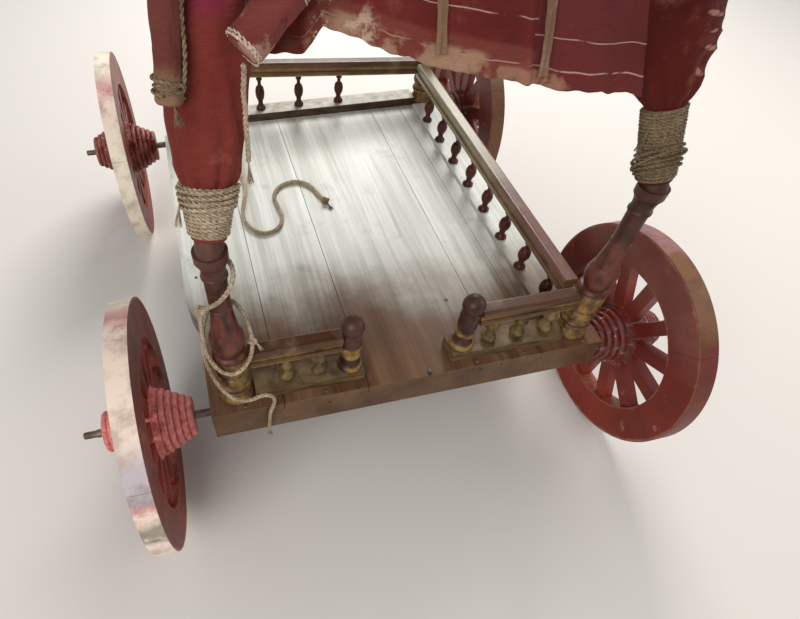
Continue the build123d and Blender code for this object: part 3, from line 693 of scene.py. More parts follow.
# The right sleeve is darker than the left, partly as painted shade
right_sleeve_cloth = sleeve_finish(
    "right_sleeve_cloth", (0.050, 0.006, 0.005), (0.120, 0.015, 0.011), (0.22, 0.07, 0.05), puckered=True)
rear_sleeve_cloth = sleeve_finish(
    "rear_sleeve_cloth", (0.075, 0.012, 0.012), (0.160, 0.028, 0.024), (0.26, 0.09, 0.07))
roof_finish = sleeve_finish(
    "roof_cloth", (0.085, 0.014, 0.015), (0.165, 0.030, 0.030), (0.27, 0.10, 0.08))
side_valance_cloth = sleeve_finish(
    "side_valance_cloth", (0.060, 0.007, 0.005), (0.130, 0.016, 0.012), (0.24, 0.08, 0.06))
curtain_paint = curtain_finish()
brace_paint = brace_finish()
tan_cloth = Cloth("tan_tape", (0.16, 0.085, 0.050), (0.36, 0.22, 0.135), (0.48, 0.34, 0.23)).done()
jute = jute_finish("jute", (0.24, 0.165, 0.10), (0.66, 0.55, 0.40), (0.60, 0.54, 0.48))
shaded_jute = jute_finish("shaded_jute", (0.11, 0.070, 0.036), (0.33, 0.24, 0.14), (0.55, 0.48, 0.40))
pale_cord = jute_finish("pale_cord", (0.40, 0.30, 0.23), (0.82, 0.68, 0.55), (0.75, 0.70, 0.64))
print("finishes in all", len(bpy.data.materials))

# %% [markdown]
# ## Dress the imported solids
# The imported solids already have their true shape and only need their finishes. One loop goes through
# them by name. Each wheel gets its own, because its worn places differ from the next one's and its
# pattern is centred on its own hub.

# %% Worn places of the wheels
cream, pink_tan, olive_grey = (0.90, 0.81, 0.64), (0.90, 0.73, 0.61), (0.34, 0.30, 0.23)
rose, lilac, mauve = (0.72, 0.38, 0.35), (0.52, 0.46, 0.48), (0.31, 0.15, 0.14)
tan, maroon = (0.20, 0.090, 0.040), (0.17, 0.034, 0.024)
treads = {
    "wheel_front_left": (
        (-180, pink_tan), (-120, cream), (20, cream), (64, cream), (71, rose), (75, rose), (84, pink_tan),
        (126, pink_tan), (138, lilac), (148, lilac), (153, rose), (160, pink_tan), (166, olive_grey),
        (171, olive_grey), (176, pink_tan)),
    "wheel_rear_left": (
        (-180, cream), (-60, pink_tan), (30, cream), (100, cream), (112, rose), (124, pink_tan),
        (160, cream)),
    "wheel_front_right": (
        (-180, maroon), (-40, tan), (40, mauve), (90, mauve), (95, tan), (131, tan), (138, maroon),
        (180, maroon)),
    "wheel_rear_right": ((-180, tan), (-40, maroon), (40, olive_grey), (110, olive_grey), (140, tan)),
}
print("stops on the treads", {name: len(stops) for name, stops in treads.items()})
# Worn paint on the hubs: darker, lighter, how little of it is rubbed
hub_tones = {
    # The front left hub's pale rose is partly painted light, made paler for a hub that lies in shade
    "wheel_front_left": ((0.54, 0.085, 0.085), (0.88, 0.36, 0.31), 0.27),
    "wheel_rear_left": ((0.24, 0.050, 0.040), (0.46, 0.19, 0.14), 0.42),
    "wheel_front_right": ((0.075, 0.020, 0.019), (0.22, 0.085, 0.078), 0.42),
    "wheel_rear_right": ((0.075, 0.020, 0.019), (0.20, 0.070, 0.060), 0.42),
}

# %% Dress each solid by its name
# The first line that a name starts with holds
solid_finishes = {
    "axle_rod": rod_iron, "base_rail_right": boards, "base_rail_rear": rear_base_wood,
    "base_rail": front_base_wood, "top_rail_right": right_rail_wood, "top_rail_rear": rear_rail_wood,
    "top_rail": front_rail_wood, "balusters_front": olive_gilt, "baluster": baluster_paint,
    "leg_": leg_wood, "ball_post": post_wood, "canopy_poles": pole_wood, "canopy_side": frame_wood,
    "canopy_cross": frame_wood, "valance_straps": tan_cloth,
}
solid_finishes.update(dict.fromkeys(("lashing", "deck_rope", "tie_rope"), jute))
solid_finishes.update(dict.fromkeys(("sleeve", "valance", "canopy_roof", "brace", "curtain"), valance_cloth))
for name, node in nodes.items():
    low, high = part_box(name)
    centre = (low + high) / 2
    if name.endswith("_rim"):
        dress(node, wheel_paint(name + "_paint", centre, tread=treads[name[:-4]]))
    elif name.endswith("_hub"):
        dress(node, wheel_paint(name + "_paint", centre, hub_tone=hub_tones[name[:-4]]))
    else:
        finishes = [finish for start, finish in solid_finishes.items() if name.startswith(start)]
        dress(node, (finishes or [boards])[0])
print("dressed", len(nodes), "solids")

# %% [markdown]
# ## Balusters under the lifted rail
# The rear rail has come up at its left end, and each baluster still reaches it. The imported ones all
# have the low end's height. They could be turned anew from a profile, but a copy that is drawn out
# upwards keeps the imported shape, and one factor for each baluster is all that it takes.

# %% Draw out the rear balusters
# Each ends a little short of the rail's line at its axis, since the rail comes lower at one side of it
baluster_places = (-0.226, -0.125, -0.027, 0.077)
short_of_rail = 0.0012
rear_balusters = nodes["balusters_rear"].copy()
rear_balusters.data = nodes["balusters_rear"].data.copy()
rear_balusters.name = "rear_balusters_drawn_out"
bpy.context.scene.collection.objects.link(rear_balusters)
only(rear_balusters)
bpy.ops.object.mode_set(mode="EDIT")
bpy.ops.mesh.select_all(action="SELECT")
bpy.ops.mesh.remove_doubles(threshold=1e-6)
bpy.ops.object.mode_set(mode="OBJECT")
baluster_low, baluster_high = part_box("balusters_rear")
rail_low, rail_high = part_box("top_rail_rear")
packed_height = baluster_high.z - baluster_low.z
for vertex in rear_balusters.data.vertices:
    axis_x = min(baluster_places, key=lambda x: abs(x - vertex.co.x))
    gap = rail_low.z + (rail_high.x - axis_x) * rear_rail_rise - baluster_low.z - short_of_rail
    vertex.co.z = baluster_low.z + (vertex.co.z - baluster_low.z) * gap / packed_height
hand_over(rear_balusters, baluster_paint, "balusters_rear")
print("rear balusters", len(rear_balusters.data.vertices), "points")

# %% [markdown]
# ## The two ropes
# One rope lies in slack curves on the deck, its far end frayed. A thinner one is wound round the
# front left leg and hangs over the deck's edge. A rope is a smooth line first: a NURBS spline whose
# control points are where a hand would nudge it. One round tube with a bump pattern could follow that
# line, but the shade between strands is what reads as rope, so three are laid round it one by one.


# %% Lines of the ropes
def spline_line(name, route):
    """The points of the smooth NURBS line that a route controls, as Blender evaluates it."""
    curve = bpy.data.curves.new(name + "_line", "CURVE")
    curve.dimensions = "3D"
    curve.resolution_u = 12
    spline = curve.splines.new("NURBS")
    spline.points.add(len(route) - 1)
    for point, place in zip(spline.points, route):
        point.co = (*place, 1.0)
    spline.order_u = 3
    spline.use_endpoint_u = True
    carrier = bpy.data.objects.new(name + "_line", curve)
    mesh = bpy.data.meshes.new_from_object(carrier)
    line = [Vector(vertex.co) for vertex in mesh.vertices]
    bpy.data.objects.remove(carrier)
    return line


def even(line, pitch):
    """The same line with points one pitch apart."""
    lengths = [0.0]
    for a, b in zip(line, line[1:]):
        lengths.append(lengths[-1] + (b - a).length)
    count = max(2, round(lengths[-1] / pitch))
    points = []
    k = 0
    for n in range(count + 1):
        reach = lengths[-1] * n / count
        while k < len(lengths) - 2 and lengths[k + 1] < reach:
            k += 1
        share = (reach - lengths[k]) / max(lengths[k + 1] - lengths[k], 1e-9)
        points.append(line[k].lerp(line[k + 1], min(max(share, 0.0), 1.0)))
    return points


def frames(line):
    """Two directions across the line at each point, carried along it without twisting."""
    tangents = []
    for n in range(len(line)):
        ahead = line[min(n + 1, len(line) - 1)] - line[max(n - 1, 0)]
        tangents.append(ahead.normalized())
    across = tangents[0].orthogonal().normalized()
    result = []
    for tangent in tangents:
        across = (across - tangent * across.dot(tangent)).normalized()
        result.append((across.copy(), tangent.cross(across).normalized()))
    return result


# %% Tubes and strands
def tube(line, radius, sides=8):
    """A round tube along a line. radius may be a function of the share of the way along."""
    points = []
    faces = []
    uvs = []
    for n, (place, (side, up)) in enumerate(zip(line, frames(line))):
        share = n / (len(line) - 1)
        reach = radius(share) if callable(radius) else radius
        for k in range(sides):
            angle = tau * k / sides
            points.append(place + side * cos(angle) * reach + up * sin(angle) * reach)
            uvs.append((k / sides, share))
    for n in range(len(line) - 1):
        for k in range(sides):
            a = n * sides + k
            b = n * sides + (k + 1) % sides
            faces.append((a, b, b + sides, a + sides))
    faces.append(tuple(reversed(range(sides))))
    faces.append(tuple(range((len(line) - 1) * sides, len(line) * sides)))
    return points, faces, uvs


def merged(name, parts):
    """One mesh object from several tubes."""
    points = []
    faces = []
    uvs = []
    for part_points, part_faces, part_uvs in parts:
        start = len(points)
        points += part_points
        uvs += part_uvs
        faces += [tuple(index + start for index in face) for face in part_faces]
    return mesh_piece(name, points, faces, uvs)


# A strand's radius as a share of the rope's, thick enough for strands to press into each other
strand_share = 0.54


def strands(line, rope_radius, lay_pitch, strand_count=3, fuzz=0.0, sides=6):
    """Strands twisted round a line, each a thin tube."""
    parts = []
    line = even(line, lay_pitch / 10)
    cross = frames(line)
    strand_radius = rope_radius * strand_share
    lay_radius = rope_radius - strand_radius
    for strand in range(strand_count):
        twisted = []
        travelled = 0.0
        for n, (place, (side, up)) in enumerate(zip(line, cross)):
            if n:
                travelled += (place - line[n - 1]).length
            angle = tau * (travelled / lay_pitch + strand / strand_count)
            twisted.append(place + (side * cos(angle) + up * sin(angle)) * lay_radius)

        def reach(share, seed=strand):
            return strand_radius * (1.0 + fuzz * rough((share * 40, seed, 0), 1.0))

        parts.append(tube(twisted, reach, sides))
    return parts


# %% Frayed ends and knots
fibre_radius = 0.0007
golden_share = 0.618


def frayed_end(place, direction, length, spread, count, seed):
    """A brush of loose fibres fanning out from a rope's end."""
    parts = []
    side = direction.orthogonal().normalized()
    up = direction.cross(side).normalized()
    for n in range(count):
        angle = tau * n * golden_share
        lean = spread * (0.35 + 0.65 * abs(rough((n, seed, 0), 1.7)))
        outward = side * cos(angle) + up * sin(angle)
        fibre = []
        for step_index in range(6):
            share = step_index / 5
            drop = Vector((0, 0, -0.25 * length * share * share))
            fibre.append(place + direction * length * share + outward * lean * share ** 1.4 + drop)
        parts.append(tube(fibre, lambda share: fibre_radius * (1 - 0.6 * share), 4))
    return parts


def knot(place, way, size, string):
    """A small overhand knot: a trefoil of string with its axis along the rope."""
    axis = way.normalized()
    side = axis.orthogonal().normalized()
    up = axis.cross(side)
    line = []
    for n in range(61):
        angle = tau * n / 60
        across = (sin(angle) + 2 * sin(2 * angle)) / 3 * size
        along = (cos(angle) - 2 * cos(2 * angle)) / 3 * size
        line.append(place + side * across + up * along - axis * sin(3 * angle) * size * 0.6)
    return [tube(line, string, 8)]


# %% Rope on the deck
deck_rope_route = [
    (-0.2860, 0.3868, 0.2678), (-0.2620, 0.3520, 0.2678), (-0.2430, 0.3000, 0.2678),
    (-0.2310, 0.2500, 0.2678), (-0.2230, 0.2060, 0.2678), (-0.2120, 0.1600, 0.2678),
    (-0.2110, 0.1180, 0.2678), (-0.2220, 0.0740, 0.2678), (-0.2330, 0.0280, 0.2678),
    (-0.2260, -0.0140, 0.2678), (-0.1980, -0.0420, 0.2678), (-0.1630, -0.0300, 0.2678),
    (-0.1480, 0.0080, 0.2678), (-0.1540, 0.0480, 0.2678), (-0.1560, 0.0840, 0.2678),
    (-0.1340, 0.1140, 0.2678), (-0.0980, 0.1240, 0.2678), (-0.0680, 0.1040, 0.2678),
    (-0.0570, 0.0680, 0.2678), (-0.0460, 0.0340, 0.2678),
]
deck_rope_thickness = 0.009
deck_rope_line = spline_line("deck_rope", deck_rope_route)
deck_rope_length = length_of(deck_rope_line)
deck_rope = merged("deck_rope_laid", strands(
    deck_rope_line, rope_radius=deck_rope_thickness / 2, lay_pitch=0.026, fuzz=0.12))
hand_over(deck_rope, jute, "deck_rope")
rope_end = deck_rope_line[-1]
rope_end_way = (rope_end - deck_rope_line[-4]).normalized()
deck_rope_knot = merged("deck_rope_knot", [
    *knot(rope_end - rope_end_way * 0.004 + Vector((0, 0, 0.002)), rope_end_way, size=0.0062, string=0.0034),
    *frayed_end(rope_end + rope_end_way * 0.004, rope_end_way, length=0.018, spread=0.010, count=26, seed=3),
])
hand_over(deck_rope_knot, shaded_jute)
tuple(deck_rope_route[0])
print("deck rope length", round(deck_rope_length, 3))

# %% Rope round the front left leg
leg_axis = Vector((-0.309, -0.410, 0.0))
# The turns round the leg: degrees, reach from the leg's axis, height
tie_turns = [
    (100, 0.0270, 0.556), (50, 0.0270, 0.552), (0, 0.0260, 0.542), (315, 0.0250, 0.528),
    (270, 0.0240, 0.512), (225, 0.0240, 0.497), (190, 0.0270, 0.483), (183, 0.0310, 0.455),
    (185, 0.0330, 0.425), (190, 0.0340, 0.400), (205, 0.0340, 0.383), (240, 0.0340, 0.366),
    (270, 0.0345, 0.362), (300, 0.0350, 0.368), (335, 0.0360, 0.380), (5, 0.0370, 0.392),
    (20, 0.0360, 0.415), (25, 0.0330, 0.440), (45, 0.0290, 0.462), (90, 0.0270, 0.468),
    (135, 0.0290, 0.452), (160, 0.0330, 0.425), (170, 0.0370, 0.400), (190, 0.0390, 0.378),
    (225, 0.0410, 0.344), (250, 0.0430, 0.318), (275, 0.0460, 0.304), (294, 0.0550, 0.3095),
]
tie_tail = [
    (-0.2715, -0.4566, 0.3121), (-0.2565, -0.4558, 0.3038), (-0.2514, -0.4551, 0.2860),
    (-0.2623, -0.4583, 0.2600), (-0.2640, -0.4543, 0.2320), (-0.2670, -0.4548, 0.2040),
]
tie_route = []
for angle, reach, height in tie_turns:
    outward = Vector((cos(radians(angle)), sin(radians(angle)), 0.0))
    tie_route.append(tuple(leg_axis + outward * reach + Vector((0, 0, height))))
tie_route += tie_tail
tie_rope_thickness = 0.007
tie_line = spline_line("tie_rope", tie_route)
tie_length = length_of(tie_line)
tie_rope = merged("tie_rope_laid", strands(
    tie_line, rope_radius=tie_rope_thickness / 2, lay_pitch=0.020, fuzz=0.15))
hand_over(tie_rope, jute, "tie_rope")

# %% Knots of the tie rope
left_knot = leg_axis + Vector((-0.0265, -0.006, 0.483))
right_knot = leg_axis + Vector((0.0355, 0.002, 0.391))
loose_end = right_knot + Vector((0.003, 0, 0))
tie_knots = merged("tie_rope_knots", [
    *knot(left_knot, Vector((0.2, -0.4, -0.9)), size=0.0056, string=0.0028),
    *knot(right_knot, Vector((0.3, -0.5, 0.8)), size=0.0060, string=0.0028),
    *frayed_end(loose_end, Vector((0.5, -0.3, -0.8)), length=0.026, spread=0.007, count=14, seed=5),
    *frayed_end(tie_line[-1], Vector((0.05, -0.05, -1)), length=0.020, spread=0.008, count=22, seed=8),
])
hand_over(tie_knots, jute)
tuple(tie_route[0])
print("tie rope length", round(tie_length, 3))

# %% [markdown]
# ## Sleeves and lashings
# Each leaning pole wears a tube of red cotton, gathered at its foot under a band of jute twine. The
# tube is a formula in the pole's own frame: a slack round, gathers that fade away from the twine,
# and a few broad hollows from noise.

# %% The leaning poles
pole_foot = (0.309, 0.410, 0.580)
pole_head = (0.248, 0.268, 0.945)
corner_sides = {"front_left": (-1, -1), "front_right": (1, -1), "rear_left": (-1, 1), "rear_right": (1, 1)}


class Pole:
    """A pole's foot, its axis and two directions across it."""

    def __init__(self, corner):
        side, end = corner_sides[corner]
        self.foot = Vector((side * pole_foot[0], end * pole_foot[1], pole_foot[2]))
        head = Vector((side * pole_head[0], end * pole_head[1], pole_head[2]))
        self.axis = (head - self.foot).normalized()
        self.length = (head - self.foot).length
        self.across = (Vector((1, 0, 0)) - self.axis * self.axis.x).normalized()
        self.behind = self.axis.cross(self.across).normalized()

    def at(self, along, angle, reach, shift=0.0):
        outward = self.across * (cos(angle) * reach + shift) + self.behind * (sin(angle) * reach)
        return self.foot + self.axis * along + outward


poles = {corner: Pole(corner) for corner in corner_sides}
print("poles", [round(pole.length, 4) for pole in poles.values()])


# %% A smooth profile
def profile(stops, x):
    """A smooth value between (x, value) stops."""
    for (x0, y0), (x1, y1) in zip(stops, stops[1:]):
        if x <= x1:
            share = min(max((x - x0) / (x1 - x0), 0.0), 1.0)
            share = share * share * (3 - 2 * share)
            return y0 + (y1 - y0) * share
    return stops[-1][1]


# %% Sleeve cloth
# Along the pole, reach from its axis
rear_stops = ((0.014, 0.0205), (0.086, 0.0240), (0.112, 0.0360), (0.180, 0.0430), (0.400, 0.0430))
sleeve_stops = {
    "front_left": ((0.016, 0.0200), (0.076, 0.0285), (0.100, 0.0360), (0.150, 0.0420), (0.215, 0.0460),
                   (0.400, 0.0430)),
    "front_right": ((0.008, 0.0200), (0.104, 0.0215), (0.132, 0.0370), (0.185, 0.0480), (0.240, 0.0500),
                    (0.400, 0.0470)),
    "rear_left": rear_stops,
    "rear_right": rear_stops,
}
sleeve_shift = {"front_right": -0.004}
puckered_side = {"front_right": 0.80 * tau}
sleeve_cloths = {"front_left": left_sleeve_cloth, "front_right": right_sleeve_cloth}
cotton_thickness = 0.0012
lashed_reach = 0.0198
sleeve_top_height = 0.9435
sleeve_shoulder = 0.005
wall_share = 0.90
for seed, corner in enumerate(corner_sides):
    pole = poles[corner]
    stops = sleeve_stops[corner]
    start = stops[0][0]
    tie_end = stops[1][0]
    reach_up = pole.length - 0.004
    crests = []

    def sleeve_place(u, v, pole=pole, stops=stops, start=start, tie_end=tie_end, seed=seed, top=reach_up,
                     corner=corner, crests=crests):
        """The wall, then the mouth, gathered in over the pole's end."""
        drawn_in = max(v - wall_share, 0.0) / (1 - wall_share)
        along = start + (top - start) * min(v / wall_share, 1.0)
        angle = tau * u
        c, s = cos(angle), sin(angle)
        reach = profile(stops, along)
        away = max(along - tie_end, 0.0)
        loose = min(away / 0.05, 1.0)
        gather = exp(-away / 0.050) * min(away / 0.010, 1.0)
        folds = sin(11 * angle + 2.4 * rough((c, s, away * 9), 1.3, seed))
        reach += 0.0032 * gather * folds
        drag = sin(2 * angle + along * 38 + seed) * rough((c, s, along * 5), 1.6, 12 + seed)
        reach += 0.0040 * loose * drag
        reach += 0.0042 * loose * rough((c * 1.1, s * 1.1, along * 9), 1.0, 4 + seed)
        reach += 0.0015 * loose * rough((c * 3, s * 3, along * 34), 1.0, 9 + seed)
        if corner in puckered_side:
            off = (angle - puckered_side[corner] + pi) % tau - pi
            pucker = exp(-(off / 0.50) ** 2) * loose
            wave = 1 - abs(sin(along * 150 + 2.4 * off + 2 * rough((along * 20, 1, 0), 1.0, 3)))
            reach += 0.0052 * pucker * wave ** 1.5 - 0.0016 * pucker
            crests.append(pucker * wave)
        point = pole.at(along, angle, max(reach, lashed_reach), sleeve_shift.get(corner, 0.0) * loose)
        wall_top = sleeve_top_height - sleeve_shoulder
        if point.z > wall_top:
            point = point - pole.axis * ((point.z - wall_top) / pole.axis.z)
        if drawn_in > 0:
            neck = pole.foot + pole.axis * ((point.z - pole.foot.z) / pole.axis.z)
            point = point.lerp(neck, 0.68 * drawn_in)
            dip = 0.0016 * (1 + sin(9 * angle + seed)) * sin(pi * drawn_in)
            point.z += sleeve_shoulder * sin(min(3 * drawn_in, 1.0) * pi / 2) - dip
        return point

    sleeve = grid("sleeve_cloth_" + corner, 112, 120, sleeve_place, closed=True)
    if crests:
        layer = sleeve.data.attributes.new("crest", "FLOAT", "POINT")
        layer.data.foreach_set("value", crests)
    sleeve_area = area_of(sleeve)
    thicken(sleeve, cotton_thickness, 1.0)
    hand_over(sleeve, sleeve_cloths.get(corner, rear_sleeve_cloth), "sleeve_" + corner)
    print(sleeve.name, "cloth", round(sleeve_area, 4), "m2")

# %% [markdown]
# ## Twine bands
# Jute twine holds each sleeve to the leg. A ring with a rope pattern would do from afar. Here every
# band is a real run of two-ply twine, a little uneven, with slanting turns over the first ones, as a
# hand leaves them when it ties off. A thin core closes what gaps are left between the turns.

# %% Twine round the sleeves' feet
# Along the pole from and to, reach at each end, turns
rear_band = (0.018, 0.088, 0.0250, 0.0285, 15)
lashing_bands = {
    "front_left": (0.020, 0.080, 0.0232, 0.0318, 13),
    "front_right": (0.012, 0.105, 0.0238, 0.0262, 21),
    "rear_left": rear_band,
    "rear_right": rear_band,
}
# Slanting turns over the first ones: from, to, turns, stand-off, slant
rear_crossing = ((0.050, 0.084, 4, 0.0034, 0.10),)
lashing_crossings = {
    "front_left": ((0.052, 0.078, 4, 0.0035, 0.05),),
    "front_right": ((0.020, 0.052, 5, 0.0034, 0.22), (0.030, 0.044, 1.6, 0.0068, 0.50)),
    "rear_left": rear_crossing,
    "rear_right": rear_crossing,
}
twine_radius = 0.0024
steps_a_turn = 36
for seed, corner in enumerate(corner_sides):
    pole = poles[corner]
    low, high, reach_low, reach_high, turn_count = lashing_bands[corner]
    winding_parts = []
    layers = [(low, high, turn_count, 0.0, 0.0), *lashing_crossings[corner]]
    for layer, (first, last, count, extra, slant) in enumerate(layers):
        line = []
        steps = int(count * steps_a_turn)
        for n in range(steps + 1):
            share = n / steps
            angle = tau * count * share
            along = first + (last - first) * share
            along += slant * 0.04 * sin(angle + 2.4 + seed)
            along += 0.0011 * rough((cos(angle), sin(angle), share * 9), 1.1, seed + 3 * layer)
            up = min(max((along - low) / (high - low), 0.0), 1.0)
            reach = reach_low + (reach_high - reach_low) * up + extra
            reach += 0.0007 * rough((cos(angle) * 2, sin(angle) * 2, share * 9), 1.2, seed + 7)
            line.append(pole.at(along, angle, reach))
        winding_parts += strands(line, twine_radius, lay_pitch=0.014, strand_count=2, fuzz=0.22, sides=5)
    core = [pole.at(low + (high - low) * n / 12, 0.0, 0.0) for n in range(13)]
    winding_parts.append(tube(
        core, lambda share, a=reach_low, b=reach_high: a + (b - a) * share - 0.0006, sides=40))
    end = pole.at(high - 0.02, 1.1 * pi, reach_high + 0.002)
    end_way = Vector((-0.3, -0.3, -0.9)).normalized()
    winding_parts += frayed_end(end, end_way, length=0.024, spread=0.008, count=16, seed=seed)
    lashing = merged("lashing_twine_" + corner, winding_parts)
    hand_over(lashing, shaded_jute if corner == "front_right" else jute, "lashing_" + corner)
    print(lashing.name, len(lashing.data.polygons), "faces")

# %% [markdown]
# ## The canopy's cloth
# Four valances hang from the battens in the planes of the leaning poles and a low cloth roof covers
# them. Each is one sheet: a formula gives its outline and a little noise its hang. A cloth simulation
# would hang as well, but its folds could not be laid where they are wanted.

# %% Hems and the lean of the canopy
valance_top_z = 0.963
front_start = 0.2803
side_start = 0.2603
valance_thickness = 0.0014
valance_stand_off = 0.0016
hem_fold = 0.0011
lean_back_x = 0.061 / 0.365
lean_back_y = 0.142 / 0.365
# Across, height
front_hem = ((-0.224, 0.779), (-0.179, 0.775), (-0.156, 0.793), (-0.040, 0.753), (0.101, 0.722),
             (0.237, 0.703))
plain_hem_z = 0.770
plain_drop = 0.175


def along_hem(hem, share):
    """A place on a hem of straight runs, by its share of the way across."""
    x = hem[0][0] + (hem[-1][0] - hem[0][0]) * share
    for (x0, z0), (x1, z1) in zip(hem, hem[1:]):
        if x <= x1 + 1e-9:
            return x, z0 + (z1 - z0) * (x - x0) / (x1 - x0)
    return hem[-1]


def plain_hem(top_half, lean):
    half = top_half + lean * plain_drop
    return (-half, plain_hem_z), (half, plain_hem_z)


print("front hem, middle", along_hem(front_hem, 0.5))


# %% Valances
def hanging(name, top_half, hem, normal, drop_lean, start, seed, cloth, creases=(), ragged=0.4):
    """A valance: its top edge is straight, its hem follows (across, height) points."""

    def place(u, v):
        top_across = 2 * top_half * u - top_half
        hem_across, hem_height = along_hem(hem, u)
        across = top_across + (hem_across - top_across) * v
        height = valance_top_z + (hem_height - valance_top_z) * v
        depth = start + drop_lean * (valance_top_z - height)
        folds = 0.0024 * sin(26 * u + 3.1 * rough((u * 2, v, seed), 2.0)) * v ** 0.7
        folds += 0.0035 * rough((u * 3, v * 1.2, seed), 1.0, seed) * v ** 0.6
        folds += 0.0009 * rough((u * 14, v * 7, seed), 1.0, seed)
        for crease, width, rise in creases:
            folds += rise * exp(-((u - crease) / width) ** 2) * v
        folds += 0.0016 * rough((u * 9 + 2.5 * v, v * 2.2, seed), 1.0, seed + 5)
        hem_wave = 0.003 * rough((u * 8, 0, seed), 1.0, seed + 3) * v
        hem_wave += 0.0035 * rough((u * 34, 0, seed), 1.0, seed + 8) * ragged * v ** 6
        turned = hem_fold * min(max((v - 0.925) / 0.01, 0.0), 1.0)
        depth += valance_stand_off + folds + turned
        return normal(across, depth, height + hem_wave)

    piece = grid(name, 150, 72, place)
    area = area_of(piece)
    thicken(piece, valance_thickness, 0.0)
    hand_over(piece, cloth, name.replace("_cloth", ""))
    print(name, "cloth", round(area, 4), "m2")


# Share of the way across, width, rise
front_creases = ((0.655, 0.012, 0.0055), (0.700, 0.010, -0.0040), (0.30, 0.02, 0.003), (0.86, 0.03, 0.003))
hanging("valance_cloth_front", 0.196, front_hem,
        lambda across, depth, height: Vector((across, -depth, height)),
        lean_back_y, front_start, 1, valance_cloth, creases=front_creases, ragged=1.0)
hanging("valance_cloth_rear", 0.200, plain_hem(0.200, lean_back_x),
        lambda across, depth, height: Vector((across, depth, height)),
        lean_back_y, front_start, 2, side_valance_cloth)
for side, name, seed in ((-1, "valance_cloth_left", 3), (1, "valance_cloth_right", 4)):
    hanging(name, 0.220, plain_hem(0.220, lean_back_y),
            lambda across, depth, height, side=side: Vector((side * depth, across, height)),
            lean_back_x, side_start, seed, side_valance_cloth)

# %% Roof cloth
roof_half_x = 0.2663
roof_half_y = 0.2863
roof_base_z = 0.9655
roof_rise = 0.070


def roof_place(u, v):
    x = roof_half_x * (2 * u - 1)
    y = roof_half_y * (2 * v - 1)
    far = (abs(2 * u - 1) ** 6 + abs(2 * v - 1) ** 6) ** (1 / 6)
    rise = roof_rise * (1 - min(far, 1.0) ** 3.2)
    wrinkle = 0.0022 * rough((x * 9, y * 9, 0), 1.0, 5) + 0.001 * rough((x * 40, y * 40, 0), 1.0, 6)
    edge = min(1.0, (1 - max(abs(2 * u - 1), abs(2 * v - 1))) * 12)
    return Vector((x, y, roof_base_z + rise + wrinkle * edge))


roof = grid("roof_cloth", 80, 86, roof_place)
thicken(roof, valance_thickness, 1.0)
hand_over(roof, roof_finish, "canopy_roof")

# %% [markdown]
# ## Tan straps
# Two faded tapes hang down over the front valance from its top edge. Each is a narrow sheet in the
# plane of the valance. Its width, sway and ripple change along it, since an edge that is ruled
# straight looks like plastic.

# %% Straps on the front valance
strap_width = 0.0125
strap_stand_off = 0.0062
strap_normal = Vector((0, -1, lean_back_y)).normalized()
strap_down = Vector((0, -lean_back_y, -1)).normalized()
strap_cloth = []
for strap_x, strap_end_z, seed in ((-0.031, 0.762, 1), (0.095, 0.732, 2)):
    start_point = Vector((strap_x, -front_start, valance_top_z)) + strap_normal * strap_stand_off
    strap_length = (valance_top_z - strap_end_z) * sqrt(1 + lean_back_y ** 2)

    def strap_place(u, v, start_point=start_point, strap_length=strap_length, seed=seed):
        width = strap_width * (1 - 0.45 * abs(rough((v * 5, seed, 0), 1.0)))
        sway = 0.0035 * rough((v * 3, seed, 3), 1.0)
        ripple = 0.0020 * rough((v * 14, u * 1.4, seed), 1.0) + 0.0016 * cos(2 * pi * u + 5 * v) + 0.0008
        aside = Vector(((u - 0.5) * width + sway, 0, 0))
        return start_point + strap_down * strap_length * v + aside + strap_normal * ripple

    piece = grid("strap_%d" % seed, 10, 110, strap_place)
    thicken(piece, cotton_thickness, 1.0)
    strap_cloth.append(piece)
    print("strap", seed, "length", round(strap_length, 3))
straps = joined("valance_tapes", strap_cloth)
hand_over(straps, tan_cloth, "valance_straps")

# %% [markdown]
# ## Brace, rolled curtain and their string
# A short brace bound in cloth steadies the front left corner, and a curtain is rolled up and tied
# outside its pole. Both are rolls: a tube whose outer edge runs round it as a low ridge, so that a
# viewer reads wound cloth and not a dowel. String is wound round them by the same means as the rope.


# %% Brace and rolled curtain
def rolled(name, foot, head, reach_foot, reach_head, wraps, seed, stands_for, finish):
    """A roll of cloth between two places, a little pinched at its ends."""
    axis = (head - foot).normalized()
    length = (head - foot).length
    across = (Vector((1, 0, 0)) - axis * axis.x).normalized()
    behind = axis.cross(across)

    def place(u, v):
        angle = tau * u
        end = min(v / 0.02, (1 - v) / 0.02, 1.0)
        reach = reach_foot + (reach_head - reach_foot) * v
        ridge = 0.0012 * abs(sin(angle / 2 + wraps * pi * v)) ** 0.5
        reach += ridge + 0.0018 * rough((cos(angle) * 1.3, sin(angle) * 1.3, v * length * 18), 1.0, seed)
        reach += 0.0006 * rough((cos(angle) * 4, sin(angle) * 4, v * length * 80), 1.0, seed)
        reach *= 0.80 + 0.20 * end ** 0.5
        return foot + axis * length * v + (across * cos(angle) + behind * sin(angle)) * reach

    piece = grid(name, 56, 110, place, closed=True)
    only(piece)
    bpy.ops.object.mode_set(mode="EDIT")
    bpy.ops.mesh.select_all(action="SELECT")
    bpy.ops.mesh.fill_holes(sides=60)
    bpy.ops.mesh.normals_make_consistent(inside=False)
    bpy.ops.object.mode_set(mode="OBJECT")
    hand_over(piece, finish, stands_for)
    print(name, "length", round(length, 3))


